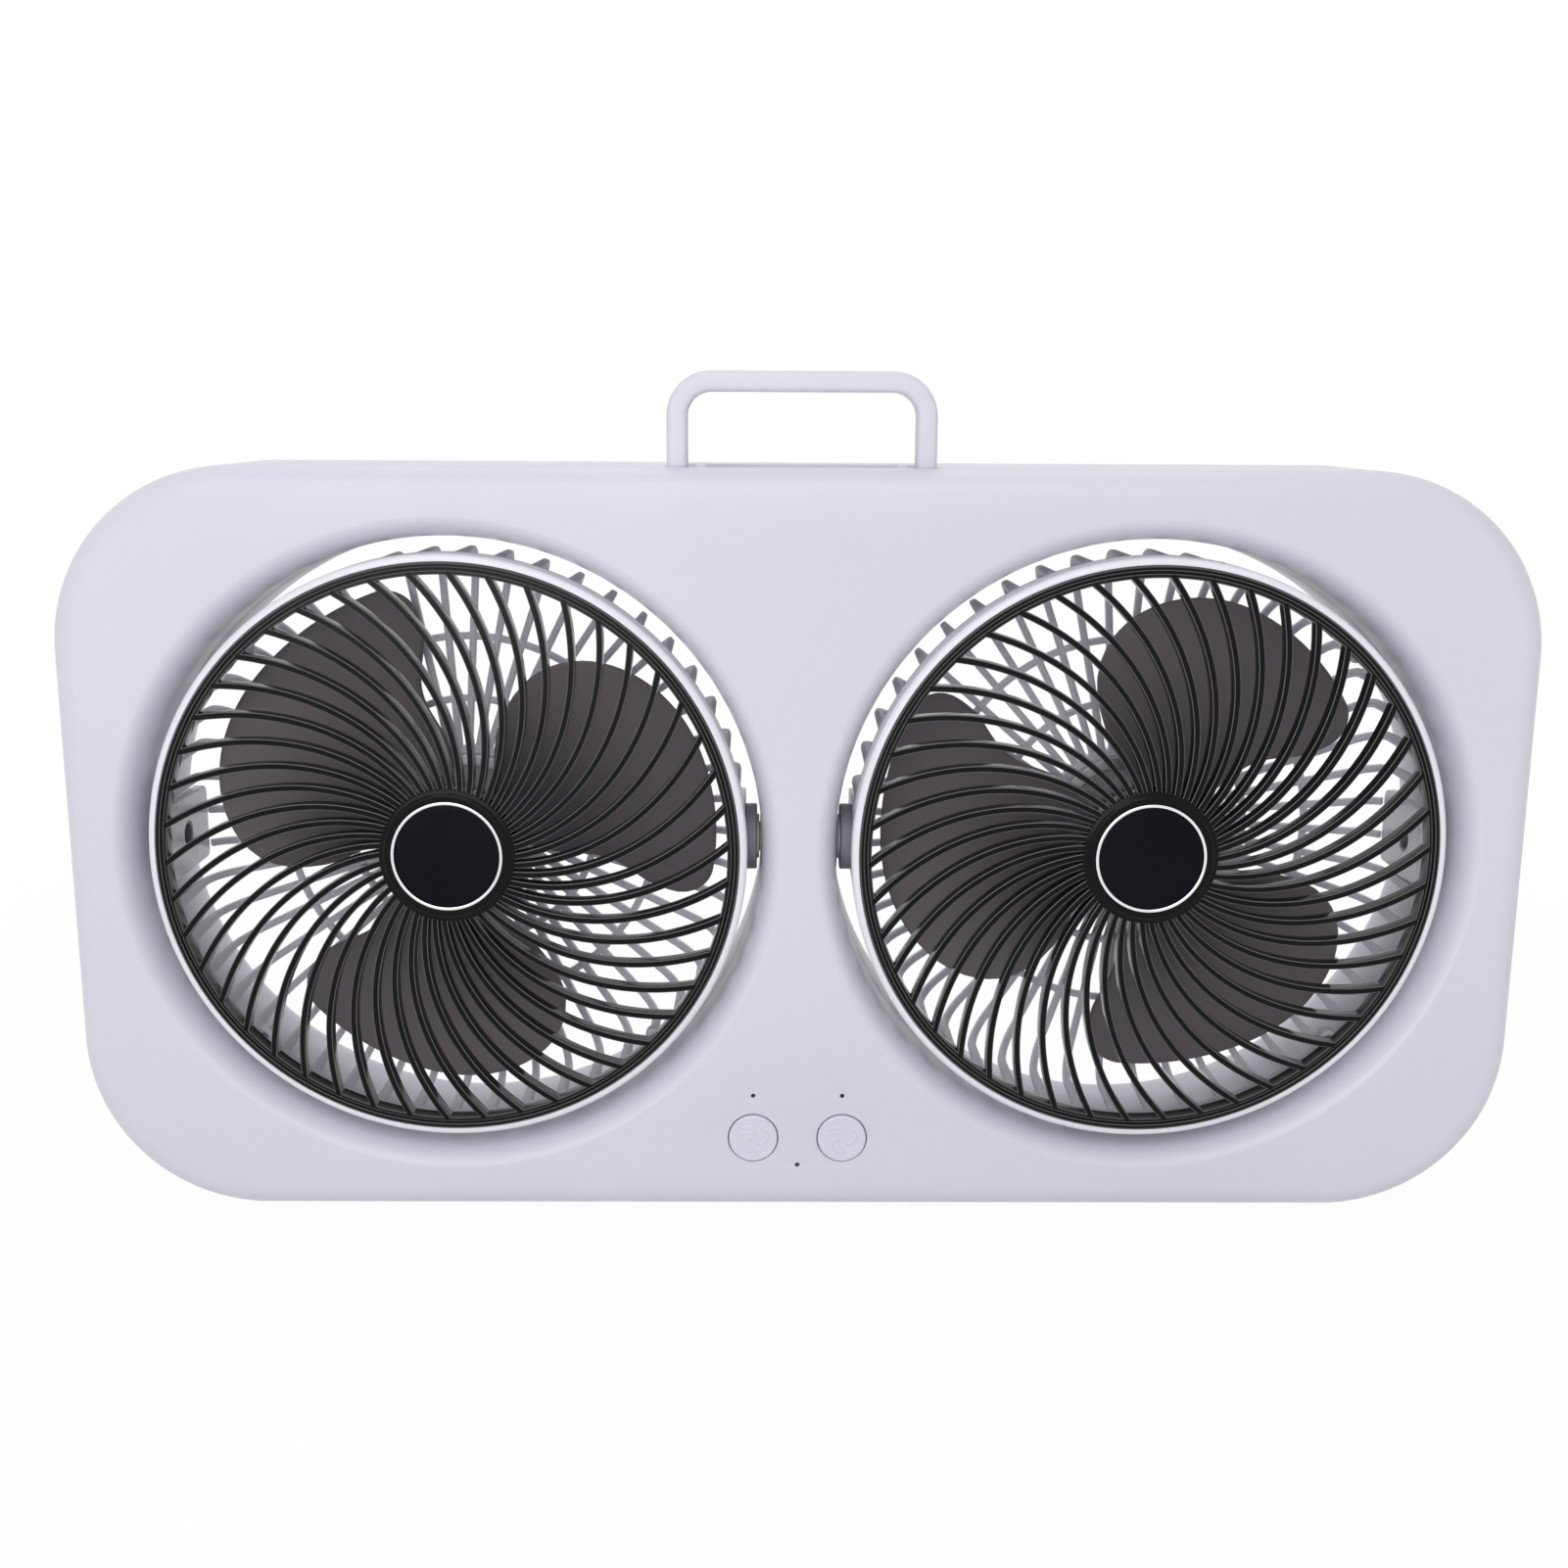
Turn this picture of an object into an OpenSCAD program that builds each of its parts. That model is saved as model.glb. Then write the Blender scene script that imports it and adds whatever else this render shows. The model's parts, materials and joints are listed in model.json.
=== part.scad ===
// Desk fan with two tilting heads side by side in one rounded housing.
// Millimetres, +Z up. The heads blow towards -Y. The origin is under the middle, on the table.
// Depth, written _d, is counted from the front face towards the back.

/* [Heads] */
// Outer radius of a head's white hoop
hoop_r = 87.3; // [83:0.1:93]
// Thickness of the hoop outside the black grille
hoop_wall = 2.2; // [2:0.1:3]
// Rounding of the hoop's front outer edge
hoop_round = 1.8; // [1:0.1:1.9]
// Depth of the hoop
hoop_depth = 8; // [7.5:0.5:10]
// Depth at which the hoop begins
hoop_front = 0.4; // [0.2:0.1:1]
// Depth of the outside of the rear grille
cage_depth = 47; // [45:0.5:50]
// Depth of the axis on which a head tilts
pivot_d = 25; // [24:0.5:27]

/* [Front grille] */
// Number of curved ribs
rib_count = 46; // [36:1:50]
// Width of a rib
rib_w = 1.9; // [1.2:0.1:2.2]
// Depth of a rib
rib_depth = 4.5; // [3:0.1:4.8]
// Turn of a rib between boss and rim, in degrees
rib_turn = 33.5; // [15:0.5:40]
// Width of the black rim
rim_w = 3.5; // [3:0.1:5]
// Depth of the black rim
rim_depth = 5; // [4.9:0.1:6]
// Radius of the boss in the middle
boss_r = 20; // [18:0.5:24]
// How far the boss stands in front of the face
boss_proud = 1.85; // [1:0.05:2.5]
// Radius of the round dark cap
cap_r = 15.3; // [13:0.1:16]
// Width of the bright ring round the cap
trim_w = 0.95; // [0.6:0.05:1.4]
// Height of the bright ring above the boss
trim_proud = 0.35; // [0.2:0.05:0.5]

/* [Rear grille] */
// Number of straight ribs
cage_ribs = 48; // [40:2:52]
// Width of a rear rib
cage_rib_w = 2.2; // [1.6:0.1:2.6]
// Thickness of a rear rib
cage_rib_t = 2.5; // [2:0.1:3]
// Sideways offset that leans the rear ribs
cage_lean = 2; // [0:0.1:3]
// Radius of the rounded shoulder
shoulder_r = 10; // [8:0.5:12]
// Radius of the larger ring
ring_outer_r = 58.5; // [54:0.5:62]
// Radius of the smaller ring
ring_inner_r = 39; // [34:0.5:44]
// Radius of the motor plate
plate_r = 24; // [23.5:0.5:27]

/* [Fans] */
// Number of blades
blade_count = 3; // [3:1:3]
// Gap between the blade tips and the screw lugs of the head
tip_gap = 3.4; // [2:0.1:10]
// Gap between the black rim and the front of the blades
blade_front_gap = 3.9; // [2:0.1:8]
// Gap between the back of the blades and the motor's flange
blade_back_gap = 1.1; // [0.8:0.1:6]
// Angle that one blade spans, in degrees
blade_span = 87; // [76:1:98]
// Thickness of a blade
blade_t = 1.6; // [1.2:0.1:2]
// Radius of the fan's hub
hub_r = 19; // [18:0.1:20]
// Radius of the fan shaft
shaft_r = 1.5; // [1:0.1:2]
// Rest turn of the left fan, in degrees
left_turn = 95.1; // [0:0.1:120]
// Rest turn of the right fan, in degrees
right_turn = 54; // [0:0.1:120]

/* [Housing] */
// Depth of the housing
body_d = 62; // [60:1:80]
// Width of the face beside a head's opening
margin_x = 13.8; // [11:0.1:30]
// Height of the face above and below an opening
margin_z = 13.5; // [12:0.1:30]
// Radius of the corners seen from the front
corner_r = 53; // [46:1:56]
// Radius of the front edge
edge_r = 7.6; // [5:0.1:7.8]
// Radius of the back edge
back_edge_r = 5; // [3:0.1:6]
// Wall of both shells
wall = 2.4; // [2:0.1:2.8]
// Depth of the seam between the shells
seam_d = 45; // [44.5:0.5:46]
// Gap round a head when it tilts
tilt_gap = 1.3; // [0.5:0.1:2]
// Width of the rolled lip round an opening
lip_w = 6.4; // [4:0.1:8]
// Depth of the rolled lip
lip_d = 14; // [8:0.5:16]

/* [Pivots] */
// Half height of the flat pad on the hoop
pad_half = 11.5; // [11:0.1:12]
// Radius of the pivot's flange
flange_r = 10; // [9.6:0.1:10.5]
// Radius of the pivot's axle
axle_r = 4.5; // [4:0.1:5]
// Radius of the wire way through the pivot
wire_r = 3.2; // [2:0.1:3.3]
// Radius of the bearing's nose
nose_r = 9.4; // [8:0.1:9.8]
// Thickness of a bearing block
bearing_t = 7.9; // [6:0.1:9]
// Thickness of a friction washer
washer_t = 0.7; // [0.4:0.1:0.8]

/* [Handle] */
// Half width of the handle
handle_half = 38.4; // [34:0.1:44]
// Height of the handle above its pins
handle_h = 28.8; // [24:0.1:29]
// Width of the handle's bar
handle_bar = 5.9; // [5:0.1:7]
// Thickness of the handle from front to back
handle_t = 8; // [6:0.1:8]
// Radius of the handle's outer corners
handle_corner = 12.7; // [8:0.1:15]
// Depth of the handle's pins
handle_d = 12.5; // [12.5:0.1:13]
// Distance of the pins below the top of the housing
handle_sink = 2; // [1.5:0.1:2.5]
// Radius of a handle pin
pin_r = 1.25; // [1:0.05:1.5]
// Width of an ear that holds a pin
ear_w = 3.6; // [3:0.1:4]
// Gap between an ear and a leg of the handle
ear_gap = 1.95; // [0.5:0.05:2.5]

/* [Controls] */
// Distance of each button from the middle
button_x = 13.4; // [11:0.1:16]
// Distance of the buttons below the heads' axes
button_z = 87.9; // [86:0.1:89]
// Radius of a button
button_r = 7.45; // [6:0.05:8]
// How far a button stands out
button_proud = 0.6; // [0.2:0.1:1]
// Travel of a button
button_travel = 1.2; // [0.8:0.1:1.4]
// Height of the two upper lights above the buttons
light_rise = 13.5; // [12.5:0.1:15]
// Drop of the charge light below the buttons
light_drop = 8.7; // [8:0.1:9]
// Radius of a light's hole
light_r = 0.65; // [0.5:0.05:1]
// Width of the circuit board
board_w = 58; // [56:1:62]
// Height of the circuit board
board_h = 36; // [36:1:38]
// Thickness of the circuit board
board_t = 1.6; // [1:0.1:2]

/* [Power] */
// Radius of a battery cell
cell_r = 9.2; // [8.5:0.1:9.3]
// Length of a battery cell
cell_len = 65; // [60:1:68]
// Width of the charging socket
socket_w = 8.9; // [8:0.1:10]
// Height of the charging socket
socket_h = 3.2; // [3:0.1:4]
// Length of the charging socket
socket_len = 7.4; // [6:0.1:9]
// Distance of the charging socket below the heads' axes
socket_z = 56; // [52:1:60]

/* [Feet and screws] */
// Radius of a rubber foot
foot_r = 5; // [4:0.1:5.5]
// Height of a rubber foot
foot_h = 1; // [0.6:0.1:2]
// Distance of the feet from the middle
foot_x = 150; // [120:1:155]
// Distance of the corner screws from the outside
screw_inset = 22; // [21:0.5:25]
// Shank radius of a housing screw
screw_r = 1.45; // [1.2:0.05:1.6]
// Head radius of a housing screw
screw_head_r = 2.9; // [2.5:0.1:3.1]

/* [Hidden] */
$fn = 96;
sides = ["left", "right"];

// Clearances
slip = 0.1;         // between pieces of one body that slide together
run_fit = 0.05;     // radial, between a shaft and its bore
free_gap = 0.3;     // between pieces that move past each other
joined = 0.5;       // overlap that fuses two shapes of one piece
plate_lap = 1.2;    // overlap of a face plate with the flat start of its rim
step_in = 0.4;      // by how much a face of one shape stays off the next one's face
past = 1;           // how far a cutting shape runs past a face

// Heads
rim_r = hoop_r - hoop_wall - slip;
rim_in = rim_r - rim_w;
seat_in = rim_in + 1.7;
rib_slope = rib_turn / (rim_in - boss_r);
rib_phase = 0.5;
rib_steps = 10;
cage_wall_r = hoop_r - 0.3;
cage_in = cage_wall_r - cage_rib_t;
cage_ring_t = 3;
cage_phase = 180 / cage_ribs;
pad_out = floor(10 * sqrt(hoop_r * hoop_r - pad_half * pad_half)) / 10;
pad_t = 3.3;
lug_at = seat_in + 0.4;
lug_r = 2.8;
lug_back = hoop_depth + 5;
lug_screw_r = 1.1;
lug_screw_tip_d = rim_depth + 1;
pad_in = pad_out - pad_t;
pad_front = rim_depth + slip + step_in;
pad_back = cage_depth - cage_rib_t - free_gap;
swing_r = norm([hoop_r - hoop_round, pivot_d - hoop_front - hoop_round]) + hoop_round;

// Housing
throat_r = ceil(10 * (swing_r + tilt_gap)) / 10;
tube_r = throat_r + wall;
lip_r = throat_r + lip_w;
block_gap = 0.7;
head_pitch = 2 * (tube_r + bearing_t + block_gap);
body_w = head_pitch + 2 * (lip_r + margin_x);
body_h = 2 * (lip_r + margin_z);
back_reach = boss_proud + trim_proud;
face_y = -(body_d - back_reach) / 2;
head_z = foot_h + body_h / 2;
top_z = foot_h + body_h;
rib_front_d = cage_depth - cage_rib_t;
plate_d = rib_front_d - step_in;
plate_back_d = cage_depth + step_in;

// Pivots
flange_out = throat_r - 1.6;
nose_face = flange_out + washer_t + free_gap;
block_in = tube_r + 0.2;
block_out = tube_r + bearing_t;
block_half = 12;
spigot_r = wire_r + 0.8;
washer_r = axle_r + 2.2;

// Fan and motor
motor_flange_r = 22;
motor_flange_t = 3.5;
blade_r = lug_at - lug_r - tip_gap;
blade_front = rim_depth + blade_front_gap;
blade_back = plate_d - motor_flange_t - blade_back_gap;
blade_mid = (blade_front + blade_back) / 2;
blade_rise = blade_back - blade_front - blade_t;
trail_r = hub_r + 0.36 * (blade_r - hub_r);
trail_share = 0.56;
trail_power = 2.2;
trail_cut = 16;
lead_share = 0.1;
lead_drop = 12;
lead_bow = 5.5;
bow_from = hub_r + 3;
bow_to = blade_r - 15;
nut_r = 4.5;
nut_t = 3.5;
nut_gap = 3.5;
hub_front = rim_depth + nut_gap + nut_t;
shaft_front = hub_front - nut_t + 0.6;
hub_back = blade_back - 0.5;
hub_wall = 1.8;
motor_r = hub_r - hub_wall - 1.7;
motor_front = hub_front + 6;
motor_screw_at = 18.5;
motor_screw_r = 1.2;
motor_neck_r = 4;
motor_neck_t = 1.2;
press_fit = 0.01;
cover_depth = 5;
cover_wall = 1.6;

// Handle pocket
pocket_half = handle_half + 0.7;
pocket_front = handle_d - handle_t / 2 - 0.4;
pocket_back = handle_d + handle_h + 1.1;
pocket_floor = handle_sink + handle_t / 2 + 0.6;
slab_t = 2.4;
ear_out = handle_half - handle_bar - ear_gap;
ear_in = ear_out - ear_w;
ear_r = handle_sink + 1.1;

// Controls
button_flange_d = wall + free_gap;
button_flange_t = 1.2;
button_flange_r = button_r + 1.25;
button_stem_r = 1.7;
button_stem_end = button_flange_d + button_flange_t + 1.1;
switch_top = button_stem_end + button_travel + free_gap;
switch_t = 2.7;
board_d = switch_top + 0.8 + switch_t;
board_z = button_z - 6.9;
standoff_r = 2.2;
board_screw_x = board_w / 2 - 3.5;
board_screw_z = board_h / 2 - 3.5;
board_screw_r = 0.95;
lamp_w = 1.6;
lamp_h = 1;
lamp_t = 0.6;
light_spots = [[-button_x, -button_z + light_rise], [button_x, -button_z + light_rise],
    [0, -button_z - light_drop]];

// Power
cell_gap = 1;
tray_front = board_d + board_t + 3;
tray_back = body_d - wall - free_gap;
tray_wall = 2.4;
tray_floor = 1.4;
cell_gap_d = (tray_back - tray_front - 4 * cell_r) / 3;
cell_step_d = 2 * cell_r + cell_gap_d;
cell_step_z = 2 * cell_r + cell_gap;
cell_d = tray_front + cell_gap_d + cell_r;
cell_z = -body_h / 2 + wall + tray_floor + cell_r + 0.15;
charge_board_t = 1.2;

// Screws and feet
boss_r_front = 4;
boss_r_back = 5;
screw_seat_d = seam_d + 5;
screw_tip_d = seam_d - 9;
mid_screw_x = 48;
mid_screw_z = body_h / 2 - 13.5;
corner_screw = [body_w / 2 - screw_inset, body_h / 2 - screw_inset];
screw_spots = concat([for (sx = [-1, 1], sz = [-1, 1]) [sx * corner_screw[0], sz * corner_screw[1]]],
    [for (sx = [-1, 1], sz = [-1, 1]) [sx * mid_screw_x, sz * mid_screw_z]]);
front_foot_d = edge_r + foot_r + 1.5;
back_foot_d = (seam_d + body_d - back_edge_r) / 2;

// Places a piece drawn round a head's axis: local x right, local y down, local z into the depth.
module at_head(side) {
    translate([side * head_pitch / 2, face_y, head_z])
        rotate([-90, 0, 0])
            children();
}

// Places a piece drawn along a pivot: local z runs outwards from the head's axis, towards dir.
module at_pivot(side, dir) {
    at_head(side)
        translate([0, 0, pivot_d])
            rotate([0, 90 * dir, 0])
                children();
}

// Places a piece drawn on the face: local x right, local y up, local z out of the face.
module on_face(x, z, d) {
    translate([x, face_y + d, head_z + z])
        rotate([90, 0, 0])
            children();
}

// A cylinder along the depth, from depth d0 to depth d1, at x and z from the heads' axes.
module rod(x, z, d0, d1, r) {
    on_face(x, z, d1)
        cylinder(r = r, h = d1 - d0);
}

// A flat ring between two radii, from depth d0 to depth d1, in a head's own frame.
module band(r_out, r_in, d0, d1) {
    difference() {
        translate([0, 0, d0])
            cylinder(r = r_out, h = d1 - d0);
        translate([0, 0, d0 - past])
            cylinder(r = r_in, h = d1 - d0 + 2 * past);
    }
}

// A block given by its lowest and highest x, depth and height, from the heads' axes.
module block(x0, x1, d0, d1, z0, z1) {
    translate([x0, face_y + d0, head_z + z0])
        cube([x1 - x0, d1 - d0, z1 - z0]);
}

// Rounded rectangle of the housing, drawn in from the outside by inset.
module outline(inset) {
    w = body_w - 2 * inset;
    h = body_h - 2 * inset;
    r = corner_r - inset;
    union() {
        square([w - 2 * r, h], center = true);
        square([w, h - 2 * r], center = true);
        for (sx = [-1, 1], sy = [-1, 1])
            translate([sx * (w / 2 - r), sy * (h / 2 - r)])
                circle(r = r);
    }
}

// Section of the shell's side wall with its rounded edge and the start of the face.
// x is the distance in from the outside and y the depth.
module edge_section(r, depth) {
    steps = 10;
    reach = r + 2 * plate_lap;
    outer = [for (i = [0:steps]) let (a = 90 * i / steps) [r - r * sin(a), r - r * cos(a)]];
    inner = [for (i = [steps:-1:0]) let (a = 90 * i / steps)
        [r - (r - wall) * sin(a), r - (r - wall) * cos(a)]];
    polygon(concat([[reach, 0]], outer, [[0, depth], [wall, depth]], inner, [[reach, wall]]));
}

// The section carried round the housing's outline: four corners and four sides.
module rim_wall(r, depth) {
    run_x = body_w / 2 - corner_r;
    run_y = body_h / 2 - corner_r;
    for (k = [0:3]) {
        sx = (k == 0 || k == 3) ? 1 : -1;
        sy = k < 2 ? 1 : -1;
        translate([sx * run_x, sy * run_y, 0])
            rotate(90 * k)
                rotate_extrude(angle = 90)
                    translate([corner_r, 0])
                        mirror([1, 0])
                            edge_section(r, depth);
    }
    for (k = [0:3]) {
        far = k % 2 == 0 ? body_w / 2 : body_h / 2;
        run = k % 2 == 0 ? run_y : run_x;
        rotate(90 * k)
            translate([far, run, 0])
                rotate([90, 0, 0])
                    linear_extrude(2 * run)
                        mirror([1, 0])
                            edge_section(r, depth);
    }
}

// Wall round an opening: rolled lip at depth 0, then straight to the given depth.
module funnel(depth) {
    steps = 8;
    inner = [for (i = [0:steps]) let (a = 90 * i / steps)
        [throat_r + lip_w * (1 - sin(a)), lip_d * (1 - cos(a))]];
    outer = [for (i = [steps:-1:0]) let (a = 90 * i / steps)
        [tube_r + (lip_w - wall) * (1 - sin(a)), wall + (lip_d - wall) * (1 - cos(a))]];
    rotate_extrude()
        polygon(concat([[lip_r + joined, 0]], inner, [[throat_r, depth], [tube_r, depth]],
            outer, [[lip_r + joined, wall]]));
}

// Face plate between the rounded edges, open at the two heads.
module face_plate(r) {
    linear_extrude(wall)
        difference() {
            outline(r + plate_lap);
            for (s = [-1, 1])
                translate([s * head_pitch / 2, 0])
                    circle(r = lip_r);
        }
}

// One shell seen from its own face: plate, rim wall and two funnels.
module shell(r, side_depth, tube_depth) {
    face_plate(r);
    rim_wall(r, side_depth);
    for (s = [-1, 1])
        translate([s * head_pitch / 2, 0, 0])
            funnel(tube_depth);
}

// Holes in both shells for the noses of the four pivot bearings.
module nose_holes() {
    for (s = [-1, 1], dir = [-1, 1])
        at_pivot(s, dir)
            translate([0, 0, throat_r - 3])
                cylinder(r = nose_r + slip, h = wall + 4);
}

// Ear that holds one handle pin, standing on the pocket's floor.
module ear(sx) {
    x0 = sx > 0 ? ear_in : -ear_out;
    translate([x0, face_y + handle_d, top_z - handle_sink])
        rotate([0, 90, 0])
            cylinder(r = ear_r, h = ear_w);
    block(x0, x0 + ear_w, handle_d - ear_r, handle_d + ear_r,
        body_h / 2 - pocket_floor - joined, body_h / 2 - handle_sink);
}

module front_shell() {
    top = body_h / 2;
    color([0.86, 0.85, 0.89])
        difference() {
            union() {
                difference() {
                    union() {
                        translate([0, face_y, head_z])
                            rotate([-90, 0, 0])
                                shell(edge_r, seam_d, pivot_d);
                        block(-pocket_half - slab_t, pocket_half + slab_t, edge_r - joined,
                            seam_d, top - pocket_floor - slab_t, top - wall + joined);
                        for (p = screw_spots)
                            rod(p[0], p[1], wall - joined, seam_d - slip, boss_r_front);
                        for (sx = [-1, 1], sz = [-1, 1])
                            rod(sx * board_screw_x, -board_z + sz * board_screw_z,
                                wall - joined, board_d, standoff_r);
                    }
                    block(-pocket_half, pocket_half, pocket_front, pocket_back,
                        top - pocket_floor, top + past);
                }
                for (sx = [-1, 1])
                    ear(sx);
            }
            for (p = screw_spots)
                rod(p[0], p[1], screw_tip_d - 1, seam_d + past, screw_r + run_fit);
            for (sx = [-1, 1], sz = [-1, 1])
                rod(sx * board_screw_x, -board_z + sz * board_screw_z, wall + 1, board_d + past,
                    board_screw_r + run_fit);
            for (sx = [-1, 1])
                rod(sx * button_x, -button_z, -past, wall + past, button_r + 0.2);
            for (p = light_spots)
                rod(p[0], p[1], -past, wall + past, light_r);
            for (sx = [-1, 1])
                translate([sx * ear_in - (sx > 0 ? past : -past), face_y + handle_d,
                    top_z - handle_sink])
                    rotate([0, 90 * sx, 0])
                        cylinder(r = pin_r + 0.02, h = ear_w + 2 * past);
            nose_holes();
        }
}

module rear_shell() {
    socket_slot = 0.25;
    shelf_side = 4;
    shelf_len = 9;
    shelf_t = 2.2;
    color([0.86, 0.85, 0.89])
        difference() {
            union() {
                translate([0, face_y + body_d, head_z])
                    rotate([90, 0, 0])
                        shell(back_edge_r, body_d - seam_d, body_d - pivot_d);
                for (p = screw_spots)
                    rod(p[0], p[1], seam_d, body_d - wall + joined, boss_r_back);
                block(-socket_w / 2 - shelf_side, socket_w / 2 + shelf_side,
                    body_d - wall - shelf_len, body_d - wall + joined,
                    -socket_z - socket_h / 2 - charge_board_t - shelf_t,
                    -socket_z - socket_h / 2 - charge_board_t);
            }
            for (p = screw_spots) {
                rod(p[0], p[1], seam_d - past, body_d, screw_r + 0.3);
                rod(p[0], p[1], screw_seat_d, body_d + past, screw_head_r + 0.4);
            }
            block(-socket_w / 2 - socket_slot, socket_w / 2 + socket_slot,
                body_d - wall - past, body_d + past,
                -socket_z - socket_h / 2 - socket_slot, -socket_z + socket_h / 2 + socket_slot);
            nose_holes();
        }
}

module rubber_feet() {
    color([0.16, 0.16, 0.17])
        for (sx = [-1, 1], d = [front_foot_d, back_foot_d])
            translate([sx * foot_x, face_y + d, 0])
                cylinder(r = foot_r, h = foot_h);
}

// Housing screws with a crossed slot in the head.
module shell_screws() {
    head_t = 2.2;
    slot_d = screw_seat_d + head_t - 1.2;
    slot_long = 1.8;
    slot_thin = 0.4;
    color([0.6, 0.6, 0.62])
        for (p = screw_spots)
            difference() {
                union() {
                    rod(p[0], p[1], screw_tip_d, screw_seat_d + joined, screw_r);
                    rod(p[0], p[1], screw_seat_d, screw_seat_d + head_t, screw_head_r);
                }
                block(p[0] - slot_long, p[0] + slot_long, slot_d, slot_d + 2 * past,
                    p[1] - slot_thin, p[1] + slot_thin);
                block(p[0] - slot_thin, p[0] + slot_thin, slot_d, slot_d + 2 * past,
                    p[1] - slot_long, p[1] + slot_long);
            }
}

// Folding handle: two legs, a top bar and two quarter-round corners.
module carry_handle() {
    leg = handle_h - handle_corner;
    color([0.87, 0.86, 0.9])
        translate([0, face_y + handle_d, top_z - handle_sink])
            difference() {
                union() {
                    for (sx = [-1, 1])
                        mirror([sx > 0 ? 0 : 1, 0, 0]) {
                            translate([handle_half - handle_bar, -handle_t / 2, 0])
                                cube([handle_bar, handle_t, leg]);
                            translate([handle_half - handle_bar, 0, 0])
                                rotate([0, 90, 0])
                                    cylinder(r = handle_t / 2, h = handle_bar);
                            translate([handle_half - handle_corner, 0, leg])
                                rotate([90, 0, 0])
                                    rotate_extrude(angle = 90)
                                        translate([handle_corner - handle_bar, -handle_t / 2])
                                            square([handle_bar, handle_t]);
                        }
                    translate([handle_corner - handle_half, -handle_t / 2, handle_h - handle_bar])
                        cube([2 * (handle_half - handle_corner), handle_t, handle_bar]);
                }
                for (sx = [-1, 1])
                    translate([sx * (handle_half - handle_bar - past), 0, 0])
                        rotate([0, 90 * sx, 0])
                            cylinder(r = pin_r + run_fit, h = handle_bar + past - 1);
            }
}

module handle_pin(sx) {
    color([0.7, 0.7, 0.72])
        translate([sx * (ear_in + 0.3), face_y + handle_d, top_z - handle_sink])
            rotate([0, 90 * sx, 0])
                cylinder(r = pin_r, h = handle_half - ear_in - 1.6);
}

module button(sx) {
    color([0.88, 0.87, 0.91]) {
        rod(sx * button_x, -button_z, -button_proud, button_flange_d + joined, button_r);
        rod(sx * button_x, -button_z, button_flange_d, button_flange_d + button_flange_t,
            button_flange_r);
        rod(sx * button_x, -button_z, button_flange_d, button_stem_end, button_stem_r);
    }
}

module tact_switch(sx) {
    half = 3;
    plunger_r = 1.75;
    color([0.2, 0.2, 0.22]) {
        block(sx * button_x - half, sx * button_x + half, board_d - switch_t, board_d,
            -button_z - half, -button_z + half);
        rod(sx * button_x, -button_z, switch_top, board_d - switch_t + joined, plunger_r);
    }
}

// A part on the back of the circuit board, centred at x and z from the board's middle.
module board_part(x, z, w, h, t) {
    back = board_d + board_t;
    block(x - w / 2, x + w / 2, back - 0.1, back + t, z - board_z - h / 2, z - board_z + h / 2);
}

module control_board() {
    z0 = -board_z - board_h / 2;
    chip_t = 1.5;
    coil_t = 2.5;
    back = board_d + board_t;
    color([0.1, 0.35, 0.2])
        difference() {
            union() {
                block(-board_w / 2, board_w / 2, board_d, back, z0, z0 + board_h);
                for (p = light_spots)
                    block(p[0] - lamp_w / 2, p[0] + lamp_w / 2, board_d - lamp_t, board_d + 0.1,
                        p[1] - lamp_h / 2, p[1] + lamp_h / 2);
                board_part(-2, 0, 8, 8, chip_t);
                board_part(board_w / 5, -3, 5, 6, chip_t);
                board_part(-board_w / 4, -4, 4, 4, chip_t);
                for (sx = [-1, 1])
                    board_part(sx * board_w / 4, board_h / 4, 8, 5, coil_t);
            }
            for (sx = [-1, 1], sz = [-1, 1])
                rod(sx * board_screw_x, -board_z + sz * board_screw_z, board_d - past,
                    back + past, board_screw_r + 0.2);
        }
}

module board_screws() {
    back = board_d + board_t;
    color([0.6, 0.6, 0.62])
        for (sx = [-1, 1], sz = [-1, 1]) {
            rod(sx * board_screw_x, -board_z + sz * board_screw_z, wall + 2, back + joined,
                board_screw_r);
            rod(sx * board_screw_x, -board_z + sz * board_screw_z, back, back + 1.3,
                2 * board_screw_r);
        }
}

module light_pipes() {
    light_fit = 0.03;
    pipe_r = 1.5;
    color([0.1, 0.1, 0.11])
        for (p = light_spots) {
            rod(p[0], p[1], 0.5, wall + joined, light_r - light_fit);
            rod(p[0], p[1], wall + slip, board_d - lamp_t, pipe_r);
        }
}

module battery_cells() {
    color([0.25, 0.42, 0.65])
        for (i = [0, 1], j = [0, 1])
            translate([-cell_len / 2, face_y + cell_d + i * cell_step_d, head_z + cell_z + j * cell_step_z])
                rotate([0, 90, 0])
                    cylinder(r = cell_r, h = cell_len);
}

// Tray between the circuit board and the back wall: floor, two ends and a wall between the cells.
module battery_tray() {
    half = cell_len / 2 + slip + tray_wall;
    cut = back_edge_r - wall;
    mid = cell_d + cell_step_d / 2;
    mid_half = cell_gap_d / 2 - slip;
    floor_z = -body_h / 2 + wall + slip;
    top = cell_z + cell_step_z + 1;
    color([0.15, 0.15, 0.16])
        union() {
            block(-half, half, tray_front, tray_back - cut, floor_z, floor_z + tray_floor - slip);
            for (sx = [-1, 1])
                translate([sx > 0 ? half - tray_wall : -half, face_y, head_z])
                    rotate([90, 0, 90])
                        linear_extrude(tray_wall)
                            polygon([[tray_front, floor_z], [tray_back - cut, floor_z],
                                [tray_back, floor_z + cut], [tray_back, top], [tray_front, top]]);
            block(-half, half, mid - mid_half, mid + mid_half, floor_z, cell_z + cell_step_z);
        }
}

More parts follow.
